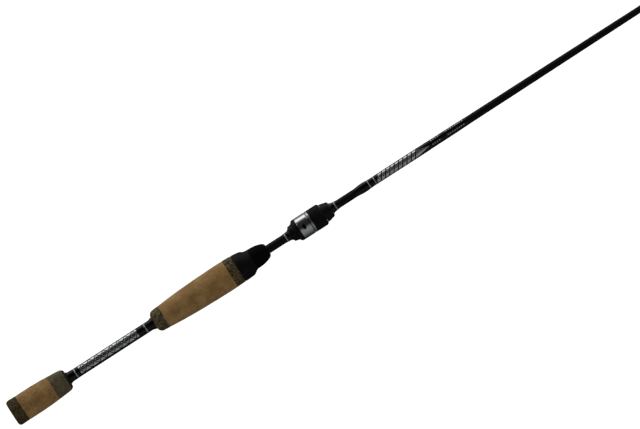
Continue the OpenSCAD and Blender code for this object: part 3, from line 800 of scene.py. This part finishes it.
def cut(target, *cutters):
    for c in cutters:
        md = target.modifiers.new("cut", "BOOLEAN")
        md.operation = "DIFFERENCE"
        md.solver = "EXACT"
        md.object = c
    bpy.context.view_layer.update()
    dg = bpy.context.evaluated_depsgraph_get()
    me = bpy.data.meshes.new_from_object(target.evaluated_get(dg))
    old = target.data
    mats = [m for m in old.materials]
    target.modifiers.clear()
    target.data = me
    me.materials.clear()
    for m in mats:
        me.materials.append(m)
    for c in cutters:
        bpy.data.objects.remove(c)
    me.polygons.foreach_set("use_smooth", [True] * len(me.polygons))
    me.set_sharp_from_angle(angle=math.radians(32))
    return target


def cyl_object(name, x0, x1, r, seg=96):
    V, F = [], []
    for x in (x0, x1):
        for k in range(seg):
            a = TAU * k / seg
            V.append((x * MM, r * MM * math.sin(a), -r * MM * math.cos(a)))
    F.append(tuple(range(seg - 1, -1, -1)))
    F.append(tuple(range(seg, 2 * seg)))
    for k in range(seg):
        l = (k + 1) % seg
        F.append((k, l, seg + l, seg + k))
    me = bpy.data.meshes.new(name)
    me.from_pydata(V, [], F)
    bm = bmesh.new()
    bm.from_mesh(me)
    bmesh.ops.recalc_face_normals(bm, faces=bm.faces)
    bm.to_mesh(me)
    bm.free()
    o = bpy.data.objects.new(name, me)
    bpy.context.scene.collection.objects.link(o)
    return o


# seat core: hidden spigot and neck, hood dome and its lip
CORE_N = [(268.26, 9.55), (285.9, 9.55), (285.95, 10.6), (286.15, 10.9), (286.6, 10.97), (288, 10.95), (290, 10.86), (292, 10.65),
          (294, 10.37), (296, 9.98), (298, 9.42), (299, 9.13), (300, 8.8), (301, 8.38), (302, 7.85), (302.6, 7.45), (303, 7.12),
          (303.4, 6.6), (303.7, 6.0), (303.88, 5.4), (303.9, 4.9)]
hood_core_path = resample(CORE_N, 0.5)


def core_radial(X, A, R):
    lip = d_polar(A, 10.1, 14.2, 7.5)
    # the lip runs from the overmould to its rounded end at x = 296
    endt = np.clip((296.3 - X) / 1.6, 0, 1)
    lip = np.where(X > 285.9, lip * np.sqrt(np.clip(endt, 0, 1)) ** 0.35, d_polar(A, 10.05, 13.35, 7.0))
    lip = np.where((X < 276.0) | (X > 296.25), 0.0, lip)
    return np.where(lip > R - 0.8, smax(R, lip, 0.8), R)


core = turned("seat_hood_core", hood_core_path, [(268.26, 4.72), (303.9, 4.66)], CORE_M, 240, core_radial, attrs={"worn": 0.0})
cut(core, box_object("pk", (278, -8.8, -12.5), (312, 8.8, -7.6), 0.7))
place(core, "rod", "seat_core", slot="seat_nylon")
place(turned("seat_spigot", fillet([(232.8, 6.1), (232.8, 8.0, 0.4), (268.24, 8.0, 0.1), (268.24, 6.1)]),
             [(232.8, 6.0), (268.24, 6.0)], NYLON, 96, attrs={"worn": 0.0}), "rod", "seat_core", slot="seat_nylon")

# soft-touch overmould; its shoulder starts earlier on the +Y side than on the -Y side
OVER_T = [(268.3, 14.1), (268.4, 14.4), (269, 14.6), (270, 14.69), (272, 14.52), (274, 14.27), (276, 14.02), (277, 13.83), (278, 13.58),
          (279, 13.13), (280, 12.55), (281, 11.96), (282, 11.5), (283, 11.26), (284, 11.1), (285, 11.02), (285.75, 10.98), (285.9, 10.75)]
OVER_B = [(268.3, 14.4), (268.4, 14.75), (269, 14.9), (270, 14.92), (272, 14.88), (274, 14.76), (276, 14.69), (277, 14.66), (278, 14.6),
          (279, 14.44), (280, 14.17), (281, 13.68), (282, 13.05), (283, 12.28), (284, 11.57), (285, 11.2), (285.75, 11.02), (285.9, 10.75)]
over_path = resample([(p[0], p[1]) for p in OVER_T], 0.45)


def over_radial(X, A, R):
    rt = interp(OVER_T, X)
    rbm = interp(OVER_B, X)
    w = 0.5 - 0.5 * np.sin(A)  # 0 on the +Y side, 1 on the -Y side
    R = rt * (1 - w) + rbm * w
    blk = d_polar(A, 10.9, 14.9, 6.5)
    blk = np.where(X < 271.0, 0.0, blk)
    fade = np.clip((285.95 - X) / 0.5, 0, 1) ** 0.35
    blk = 9.6 + (blk - 9.6) * fade
    return np.where(blk > R - 0.5, smax(R, blk, 0.5), R)


over = turned("seat_overmould_skin", over_path, [(268.3, 9.6), (285.9, 9.6)], SOFT, 240, over_radial, attrs={"worn": 0.0})
cut(over, box_object("ov", (275.95, -10.12, -13.42), (290, 10.12, -3), 2.6, 5))
place(over, "rod", "seat_overmould", slot="soft_touch")


def liner(name, x0, x1, body, node):
    o = box_object(name, (x0, -8.77, -12.47), (x1, 8.77, -7.9), 0.5)
    cut(o, box_object("lc", (x0 - 1, -8.2, -11.9), (x1 + 1, 8.2, -5), 0.5))
    at = o.data.attributes.new("worn", "FLOAT", "POINT")
    finish_mesh(o, LINER, 32)
    return place(o, body, node, slot="liner")


liner("hood_pad_rear", 278.1, 295.4, "rod", "fixed_hood_liner")

for k, x in enumerate((234, 262)):
    place(turned(f"rear_arbor_{k + 1}", fillet([(x, 5.2), (x, 5.94, 0.15), (x + 14, 5.94, 0.15), (x + 14, 5.2)]),
                 bore(x, x + 14, 0.02), FOAM, 64, attrs={"worn": 0.0}), "rod", "seat_rear_arbors", slot="arbor")

sleeve("seat_wrap_a", [(323.6, 4.62), (324.3, 4.74), (325.18, 4.8)], THREAD, "seat_wrap", "thread_wrap", edge=0.02, step=0.2)
sleeve("seat_band", [(325.2, 4.87), (326.2, 4.89)], BAND, "seat_wrap_band", "trim_band", edge=0.02)
sleeve("seat_wrap_b", [(326.23, 4.92), (328.4, 5.06), (329.4, 5.2)], THREAD, "seat_wrap", "thread_wrap", edge=0.02, step=0.4)

# barrel with a helical thread and its keyway
bx = np.unique(np.concatenate([np.linspace(329.5, 334, 14), np.arange(334, 371.4, 0.125), [371.4]]))
BAR = [(329.5, 5.38), (330, 5.62), (330.5, 5.95), (331, 6.35), (331.6, 6.8), (332.3, 7.12), (333.4, 7.28), (335.6, 7.3), (371.4, 7.3)]
bar_path = [(float(x), float(smooth_table(BAR, x))) for x in bx]


def thread_radial(X, A, R):
    ph = ((X - 2.0 * A / TAU) / 2.0) % 1.0
    tri = np.clip(np.abs(ph - 0.5) * 2.0 * 2.0 - 0.5, 0, 1)  # 1 on the crest, 0 in the root
    depth = 0.62 * np.clip((X - 335.8) / 1.5, 0, 1) * np.clip((370.6 - X) / 0.8, 0, 1)
    r = R - depth * (1 - tri)
    back = np.cos(A) < -0.9
    key = np.abs(R * np.sin(A)) < 1.5
    flat = 6.2 / np.maximum(-np.cos(A), 0.2)
    return np.where(back & key, np.minimum(r, flat), r)


ang = sorted(set(list(np.arange(132) * TAU / 132) + [math.pi - 0.2065, math.pi + 0.2065, math.pi - 0.2075, math.pi + 0.2075]))
place(turned("seat_thread_barrel", bar_path, [(329.5, 5.04), (371.4, 5.04)], NYLON, 0, thread_radial, sharp=50, angles=ang,
             attrs={"worn": 0.0}), "rod", "seat_barrel", slot="seat_nylon")
place(turned("front_arbor", fillet([(330, 4.7), (330, 5.0, 0.1), (371.3, 5.0, 0.1), (371.3, 4.7)]), bore(330, 371.3, 0.02), FOAM, 64,
             attrs={"worn": 0.0}), "rod", "seat_front_arbor", slot="arbor")

COL = [(370.05, 7.4), (370.05, 10.0, 0.08), (370.6, 9.98, 0.3), (371.3, 9.8, 0.3), (372.3, 9.8, 0.4), (373.2, 9.58, 0.4), (374.9, 9.1, 0.6),
       (377.0, 8.58, 0.8), (378.1, 8.28, 0.5), (378.8, 7.8, 0.35), (379.35, 6.7, 0.15), (379.35, 4.5)]
place(turned("seat_collar", resample(fillet(COL, 5), 0.7), [(370.05, 7.36), (371.5, 7.36), (371.5, float(rb(371.5)) + 0.02), (379.35, float(rb(379.35)) + 0.02)],
             COLLAR_M, 128, attrs={"worn": 0.0}), "rod", "barrel_collar", slot="seat_nylon")

sleeve("front_wrap_a", [(379.4, 6.1), (380, 5.83), (381, 5.3), (382, 5.1), (383.88, 4.8)], THREAD, "front_wrap", "thread_wrap", edge=0.02, step=0.3)
sleeve("front_band_a", [(383.9, 4.82), (384.9, 4.74)], BAND, "front_wrap_band", "trim_band", edge=0.02)
sleeve("front_wrap_b", [(384.93, 4.7), (386, 4.55), (387.4, 4.42)], THREAD, "front_wrap", "thread_wrap", edge=0.02, step=0.3)

sleeve("handle_wrap_a", [(408.3, 4.36), (409, 4.39), (410, 4.46), (411.5, 4.64), (413, 4.79), (414.5, 4.92), (416, 5.0), (419, 5.06), (420.5, 5.01),
                         (422, 4.86), (423.68, 4.7)], THREAD, "handle_wrap", "thread_wrap", edge=0.01, step=0.5)
sleeve("handle_band_a", [(423.7, 4.74), (424.75, 4.71)], BAND, "handle_wrap_bands", "trim_band", edge=0.02)
sleeve("handle_wrap_b", [(424.78, 4.66), (427, 4.5), (430.58, 4.5)], THREAD, "handle_wrap", "thread_wrap", edge=0.01, step=0.5)
sleeve("handle_band_b", [(430.6, 4.55), (431.6, 4.55)], BAND, "handle_wrap_bands", "trim_band", edge=0.02)
sleeve("handle_wrap_c", [(431.62, 4.55), (433.03, 4.56)], THREAD, "handle_wrap", "thread_wrap", edge=0.01, step=0.4)
sleeve("fore_epoxy", [(433.05, 4.57), (470, 4.6), (492, 4.6), (497, 4.45), (525, 4.38), (534, 4.28), (540, 4.2), (541, 4.16)], COAT_B,
       "decal_coat", "epoxy_coat", edge=0.01, step=1.0, seg=128)

# ---------------------------------------------------------------- sliding hood and nut

HOOD = [(331.6, 7.6), (331.6, 8.02, 0.12), (333.0, 8.22, 0.6), (335.0, 8.72, 0.8), (336.1, 9.08, 0.4), (336.7, 9.5, 0.3), (337.3, 10.3, 0.3),
        (338.0, 11.3, 0.3), (338.8, 11.68, 0.4), (340.0, 11.76, 0.4), (341.5, 11.76, 0.08), (341.5, 11.36), (354.22, 11.36, 0.08), (354.22, 9.4)]
hood_path = resample(fillet(HOOD, 4), 0.42)


def hood_radial(X, A, R):
    lip = np.where(X < 341.5, d_polar(A, 10.1, 14.2, 7.5), d_polar(A, 10.08, 13.78, 7.0))
    t = np.clip((X - 336.9) / 1.8, 0, 1)
    lip = np.where((X < 336.9) | (X > 350.5), 0.0, lip * (0.93 + 0.07 * np.sqrt(t)))
    fade = np.clip((350.5 - X) / 0.6, 0, 1)
    lip = lip * np.where(X > 349.9, 0.9 + 0.1 * np.sqrt(fade), 1.0)
    return np.where(lip > R - 0.5, smax(R, lip, 0.5), R)


hood = turned("front_hood", hood_path, [(331.6, 7.5), (350.1, 7.5), (350.1, 10.05), (352.3, 10.05), (352.3, 9.25), (354.22, 9.25)], NYLON, 240, hood_radial,
              attrs={"worn": 0.0})
cut(hood, box_object("hp", (330, -8.8, -12.5), (348.9, 8.8, -7.0), 0.7))
place(hood, "hood", "sliding_hood", slot="seat_nylon")
key = box_object("hood_key_rib", (336, -1.3, 6.5), (350, 1.3, 7.8), 0.12, 2)
key.data.attributes.new("worn", "FLOAT", "POINT")
finish_mesh(key, NYLON)
place(key, "hood", "sliding_hood", slot="seat_nylon")
liner("hood_pad_front", 337.3, 348.85, "hood", "sliding_hood_liner")

SLV = [(341.56, 11.45), (341.56, 11.74, 0.06), (341.72, 11.86, 0.08), (353.4, 11.86, 0.08), (353.6, 11.74, 0.06), (353.6, 11.45)]


def sleeve_radial(X, A, R):
    edge = R - 11.86
    lip = d_polar(A, 10.55, 14.3, 7.0) + edge
    return np.where(lip > R - 0.6, smax(R, lip, 0.6), R)


slv = turned("hood_metal_sleeve", resample(fillet(SLV, 4), 0.8), [(341.56, 11.40), (353.6, 11.40)], CHROME, 240, sleeve_radial)
cut(slv, box_object("si", (330, -10.12, -13.83), (364, 10.12, 2), 3.6, 8))
place(slv, "hood", "hood_sleeve", slot="polished_metal")

NUT = [(350.4, 7.5), (350.4, 9.75, 0.1), (352.0, 9.75, 0.1), (352.0, 8.95, 0.08), (354.25, 8.95, 0.08), (354.25, 11.0, 0.08), (356.5, 11.0, 0.05),
       (356.5, 11.55, 0.12), (356.95, 11.88, 0.25), (367.9, 11.88, 0.5), (368.6, 11.6, 0.4), (369.3, 11.15, 0.4), (369.98, 10.35, 0.1), (369.98, 7.5)]
nut_path = resample(fillet(NUT, 4), 0.4)


def nut_radial(X, A, R):
    n = 24
    ph = (A * n / TAU) % 1.0
    g = np.clip(1 - np.abs(ph - 0.5) / 0.27, 0, 1)
    g = g * g * (3 - 2 * g)
    ends = np.clip((X - 357.6) / 0.7, 0, 1) * np.clip((370.5 - X) / 0.5, 0, 1)
    on = (R > 10.3) & (X > 356.9)
    return np.where(on, R - 0.55 * g * ends, R)


place(turned("lock_nut_body", nut_path, [(350.4, 7.46), (369.98, 7.46)], NYLON, 288, nut_radial, attrs={"worn": 0.0}), "nut", "lock_nut", slot="seat_nylon")
place(turned("nut_ring", fillet([(354.3, 11.1), (354.3, 11.78, 0.06), (354.5, 11.9, 0.1), (356.25, 11.9, 0.1), (356.45, 11.78, 0.06), (356.45, 11.1)]),
             [(354.3, 11.02), (356.45, 11.02)], TRIM, 144), "nut", "nut_trim_ring", slot="polished_metal")

# ---------------------------------------------------------------- line guides

GUIDES = [(790, 6.0, 7.8, 17.0, 14, 0.9, 1.6), (880, 4.2, 5.6, 11.6, 11, 0.75, 1.25), (958, 3.2, 4.4, 8.8, 10, 0.75, 1.25),
          (1026, 2.6, 3.7, 7.2, 9, 0.75, 1.25), (1086, 2.2, 3.2, 6.0, 8.5, 0.75, 1.25), (1138, 1.9, 2.8, 5.2, 8, 0.75, 1.25)]


def ceramic(name, x, z, r0, r1, node):
    prof = fillet([(x - 0.85, r1 - 0.35), (x - 0.85, r1 - 0.03, 0.15), (x + 0.85, r1 - 0.03, 0.15), (x + 0.85, r1 - 0.35)], 3)
    inner = [(x - 0.85, r0 + 0.5), (x - 0.78, r0 + 0.26), (x - 0.6, r0 + 0.09), (x - 0.4, r0), (x + 0.4, r0), (x + 0.6, r0 + 0.09), (x + 0.78, r0 + 0.26), (x + 0.85, r0 + 0.5)]
    return place(turned(name, prof, inner, CERAMIC, 96, axis_z=z, sharp=55), "rod", node, slot="guide_ceramic")


def tube_along(points, radii, seg=12):
    """Closed tube through points (mm) with a radius (a, b) at each: a across Y, b the other way."""
    P = np.array(points, float)
    V, F = [], []
    n = len(P)
    for i in range(n):
        t = P[min(i + 1, n - 1)] - P[max(i - 1, 0)]
        t /= np.linalg.norm(t)
        side = np.array([0.0, 1.0, 0.0]) - t[1] * t
        side /= np.linalg.norm(side)
        nor = np.cross(t, side)
        a, b = radii[i]
        for k in range(seg):
            q = TAU * k / seg
            V.append(P[i] + side * a * math.cos(q) + nor * b * math.sin(q))
    for i in range(n - 1):
        for k in range(seg):
            l = (k + 1) % seg
            F.append((i * seg + k, i * seg + l, (i + 1) * seg + l, (i + 1) * seg + k))
    F.append(tuple(range(seg - 1, -1, -1)))
    F.append(tuple((n - 1) * seg + k for k in range(seg)))
    return V, F


def bez(a, b, c, d, n=14):
    t = np.linspace(0, 1, n)[:, None]
    a, b, c, d = (np.array(v, float) for v in (a, b, c, d))
    return (1 - t) ** 3 * a + 3 * (1 - t) ** 2 * t * b + 3 * (1 - t) * t * t * c + t ** 3 * d


def strut(xh, zh, s, x, z, r1, w, a_deg, thick=0.55):
    """Curved wire from the heel of a foot to the holder."""
    a = math.radians(a_deg)
    end = (x, s * (r1 + w / 2) * math.sin(a), z + (r1 + w / 2) * math.cos(a))
    start = (xh, s * 0.55, zh)
    d = 1 if xh > x else -1
    mid1 = (xh - d * 1.5, s * 0.7, zh - 0.4)
    mid2 = (x + d * abs(xh - x) * 0.25, end[1] * 0.96, end[2] + (zh - end[2]) * 0.32)
    pts = bez(start, mid1, mid2, end)
    rad = [(thick * (1.0 - 0.12 * math.sin(math.pi * k / 13)), thick * 0.85) for k in range(14)]
    return tube_along(pts, rad, 12)


def foot_mesh(xt, xh, hw):
    """Flat ground foot on the -Z side of the blank, from its thin tip xt to its heel xh."""
    V, F = [], []
    n, m = 16, 9
    for i in range(n + 1):
        t = i / n
        x = xt + (xh - xt) * t
        w = hw * min(1.0, 0.35 + 1.6 * t) if t < 0.4 else hw
        th = 0.18 + (0.92 - 0.18) * t ** 0.8
        r = float(rb(x))
        am = math.asin(min(0.98, w / (r + 0.4)))
        for side in (0, 1):
            for k in range(m):
                a = -am + 2 * am * k / (m - 1)
                rr = r + (0.02 if side == 0 else th * (1 - 0.35 * abs(2 * k / (m - 1) - 1) ** 3))
                V.append((x, rr * math.sin(a), -rr * math.cos(a)))
    row = 2 * m
    for i in range(n):
        for side in (0, 1):
            o = side * m
            for k in range(m - 1):
                q = (i * row + o + k, i * row + o + k + 1, (i + 1) * row + o + k + 1, (i + 1) * row + o + k)
                F.append(q if side else q[::-1])
        for k in (0, m - 1):
            q = (i * row + k, i * row + m + k, (i + 1) * row + m + k, (i + 1) * row + k)
            F.append(q if k == 0 else q[::-1])
    for i in (0, n):
        f = [i * row + k for k in range(m)] + [i * row + m + k for k in range(m - 1, -1, -1)]
        F.append(tuple(f) if i == 0 else tuple(f[::-1]))
    return V, F


def joined(name, parts, mat, sharp=45):
    V, F = [], []
    for v, f in parts:
        o = len(V)
        V.extend([tuple(np.array(q) * MM) for q in v])
        F.extend([tuple(i + o for i in q) for q in f])
    return new_object(name, V, F, mat, sharp, recalc=True)


def holder_mesh(x, z, r1, w, seg=96):
    """Rounded rim that carries the ceramic ring."""
    prof = [(x - 0.6, r1), (x - 0.6, r1 + w * 0.55), (x - 0.42, r1 + w * 0.9), (x, r1 + w), (x + 0.42, r1 + w * 0.9), (x + 0.6, r1 + w * 0.55), (x + 0.6, r1)]
    V, F = [], []
    n = len(prof)
    for px, pr in prof:
        for k in range(seg):
            a = TAU * k / seg
            V.append((px, pr * math.sin(a), z - pr * math.cos(a)))
    for i in range(n):
        j = (i + 1) % n
        for k in range(seg):
            l = (k + 1) % seg
            F.append((i * seg + k, i * seg + l, j * seg + l, j * seg + k))
    return V, F


def wrap_mesh(name, xt, xh, hw, node):
    """Thread wrap that climbs over a foot: tight on the blank, raised on the -Z side."""
    d = 1 if xt < xh else -1
    xa, xb = xt - 2.5 * d, xh - 1.6 * d
    n = 60
    path = []
    for i in range(n + 1):
        x = xa + (xb - xa) * i / n
        path.append((x, float(rb(x)) + 0.27))
    if d < 0:
        path = path[::-1]

    def rad(X, A, R):
        t = np.clip((X - xt) * d / abs(xh - xt), 0, 1)
        th = np.where((X - xt) * d > -0.6, 0.18 + 0.74 * t ** 0.8, 0.0) * np.clip(((X - xt) * d + 0.9) / 0.9, 0, 1)
        am = np.arcsin(np.clip(hw / (R + 0.3), 0, 0.98))
        A2 = np.abs((A + math.pi) % TAU - math.pi)
        hump = np.clip(1.0 - np.clip((A2 - am * 0.75) / (am * 0.9), 0, 1), 0, 1)
        hump = hump * hump * (3 - 2 * hump)
        ends = np.minimum((X - X.min()), (X.max() - X))
        ease = 0.22 * np.clip(1 - ends / 0.5, 0, 1) ** 2
        return R + th * hump - ease

    x0, x1 = path[0][0], path[-1][0]
    return place(turned(name, path, bore(x0, x1, 0.01), THREAD, 96, rad), "rod", node, slot="thread_wrap")


for k, (x, r0, r1, h, fl, w, hw) in enumerate(GUIDES, 1):
    parts = [holder_mesh(x, -h, r1, w), foot_mesh(x + 5 + fl, x + 5, hw)]
    zh = -float(rb(x + 5.6)) - 0.5
    parts += [strut(x + 5.6, zh, s, x, -h, r1, w, 40, 0.6 if k == 1 else 0.5) for s in (-1, 1)]
    if k == 1:
        parts.append(foot_mesh(x - 9 - fl, x - 9, hw))
        zh2 = -float(rb(x - 9.6)) - 0.5
        parts += [strut(x - 9.6, zh2, s, x, -h, r1, w, 62, 0.6) for s in (-1, 1)]
    place(joined(f"guide_{k}_wire", parts, FRAME_M), "rod", f"guide_{k}_frame", slot="guide_frame")
    ceramic(f"guide_{k}_insert", x, -h, r0, r1, f"guide_{k}_ring")
    wrap_mesh(f"guide_{k}_thread", x + 5 + fl, x + 5, hw, f"guide_{k}_wrap")
    if k == 1:
        wrap_mesh("guide_1_thread_rear", x - 9 - fl, x - 9, hw, "guide_1_wrap")

# tip-top: tube, ring and two side wires
TX, TZ = 1218.15, -4.6
tube_v, tube_f = [], []
prof = [(1203, 1.12), (1203, 1.44), (1203.2, 1.5), (1215.2, 1.5), (1215.55, 1.38), (1215.6, 1.0), (1215.6, 0.02), (1213.5, 0.02), (1213.5, 1.12)]
seg = 48
for px, pr in prof:
    for j in range(seg):
        a = TAU * j / seg
        tube_v.append((px, pr * math.sin(a), -pr * math.cos(a)))
for i in range(len(prof)):
    j2 = (i + 1) % len(prof)
    for j in range(seg):
        l = (j + 1) % seg
        tube_f.append((i * seg + j, i * seg + l, j2 * seg + l, j2 * seg + j))
parts = [(tube_v, tube_f), holder_mesh(TX, TZ, 2.8, 0.7)]
for s in (-1, 1):
    pts = bez((1213.0, s * 1.1, -0.9), (1215.5, s * 1.5, -1.3), (1217.4, s * 2.2, -1.7), (1218.1, s * 2.75, TZ + 1.6))
    parts.append(tube_along(pts, [(0.42, 0.42)] * 14, 12))
place(joined("tip_top_wire", parts, FRAME_M), "rod", "tip_top_frame", slot="guide_frame")
ceramic("tip_top_insert", TX, TZ, 1.9, 2.8, "tip_top_ring")
sleeve("tip_top_thread", [(1195, float(rb(1195)) + 0.2), (1196, float(rb(1196)) + 0.27), (1202.9, float(rb(1202.9)) + 0.3)], THREAD, "tip_top_wrap", "thread_wrap", edge=0.02, step=0.6, seg=64)

# ---------------------------------------------------------------- stage and light

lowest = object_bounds()[0].z
bpy.ops.mesh.primitive_plane_add(size=30.0, location=(0.6, 0.0, lowest - 0.0002))
floor = bpy.context.object
floor.name = "floor"
fm = Mat("floor")
fm.set(Base_Color=(0.30, 0.30, 0.30), Roughness=0.9)
fm.b.inputs["Specular IOR Level"].default_value = 0.0
fm.b.inputs["Emission Color"].default_value = (1, 1, 1, 1)
fm.b.inputs["Emission Strength"].default_value = 1.05
floor.data.materials.append(fm.m)
floor.visible_diffuse = False
floor.visible_glossy = False
floor.visible_shadow = False

world = bpy.data.worlds.new("studio")
bpy.context.scene.world = world
world.use_nodes = True
wt = world.node_tree
wt.nodes.clear()


def wnode(kind, **kw):
    n = wt.nodes.new(kind)
    for k, v in kw.items():
        setattr(n, k, v)
    return n


def wmath(op, a, b=None, clamp=False):
    n = wnode("ShaderNodeMath", operation=op, use_clamp=clamp)
    for i, v in enumerate((a, b)):
        if v is None:
            continue
        if isinstance(v, bpy.types.NodeSocket):
            wt.links.new(v, n.inputs[i])
        else:
            n.inputs[i].default_value = v
    return n.outputs[0]


tc = wnode("ShaderNodeTexCoord")
sp = wnode("ShaderNodeSeparateXYZ")
wt.links.new(tc.outputs["Generated"], sp.inputs[0])
dy, dz = sp.outputs[1], sp.outputs[2]
length = wmath("MAXIMUM", wmath("SQRT", wmath("ADD", wmath("MULTIPLY", dy, dy), wmath("MULTIPLY", dz, dz))), 0.02)
ny, nz = wmath("DIVIDE", dy, length), wmath("DIVIDE", dz, length)


# Radiance round the rod: the angle is measured from straight up, towards +Y.
ROUND = [(-180, .30), (-168, .22), (-155, .04), (-128, .022), (-109, .045), (-95, .080), (-82, .12), (-70, .150), (-59, .175), (-48, .186),
         (-38, .182), (-30, .175), (-22, .135), (-13, .050), (-3, .020), (9, .013), (19, .015), (28, .018), (38, .019), (48, .028),
         (59, .045), (70, .18), (82, .83), (95, 1.22), (109, .58), (128, .20), (155, .05), (168, .22), (180, .30)]
angle = wmath("ADD", wmath("DIVIDE", wmath("ARCTAN2", ny, nz), TAU), 0.5)
rmp = wnode("ShaderNodeValToRGB")
el = rmp.color_ramp.elements
while len(el) > 1:
    el.remove(el[0])
el[0].position, el[0].color = 0.0, (ROUND[0][1] / 2, ROUND[0][1] / 2, ROUND[0][1] / 2, 1)
for deg, rad_ in ROUND[1:]:
    k = el.new((deg + 180) / 360)
    k.color = (rad_ / 2, rad_ / 2, rad_ / 2, 1)
wt.links.new(angle, rmp.inputs[0])
total = wmath("MULTIPLY", rmp.outputs[0], 2.0)
bg1 = wnode("ShaderNodeBackground")
wt.links.new(total, bg1.inputs["Strength"])
bg1.inputs["Color"].default_value = (1.0, 1.0, 1.0, 1)
bg2 = wnode("ShaderNodeBackground")
bg2.inputs["Color"].default_value = (1, 1, 1, 1)
bg2.inputs["Strength"].default_value = 1.0
lp = wnode("ShaderNodeLightPath")
mx = wnode("ShaderNodeMixShader")
wo = wnode("ShaderNodeOutputWorld")
wt.links.new(lp.outputs["Is Camera Ray"], mx.inputs[0])
wt.links.new(bg1.outputs[0], mx.inputs[1])
wt.links.new(bg2.outputs[0], mx.inputs[2])
wt.links.new(mx.outputs[0], wo.inputs["Surface"])



def sun(name, deg, weight, spread=25):
    """Soft light square to the rod, deg from straight up towards +Y; it lights the matt colours only."""
    d = bpy.data.lights.new(name, "SUN")
    d.energy = math.pi * weight
    d.angle = math.radians(spread)
    o = bpy.data.objects.new(name, d)
    bpy.context.scene.collection.objects.link(o)
    a = math.radians(deg)
    o.rotation_mode = "QUATERNION"
    o.rotation_quaternion = Vector((0.0, math.sin(a), math.cos(a))).to_track_quat("Z", "Y")
    o.visible_glossy = False
    return o


sun("soft_low", -70, 0.20)
sun("soft_top", 30, 0.20)
sun("soft_high", 90, 0.22)
sun("soft_under", 180, 0.16)
sun("soft_back", 148, 0.10)

bpy.context.scene.view_settings.view_transform = "Standard"
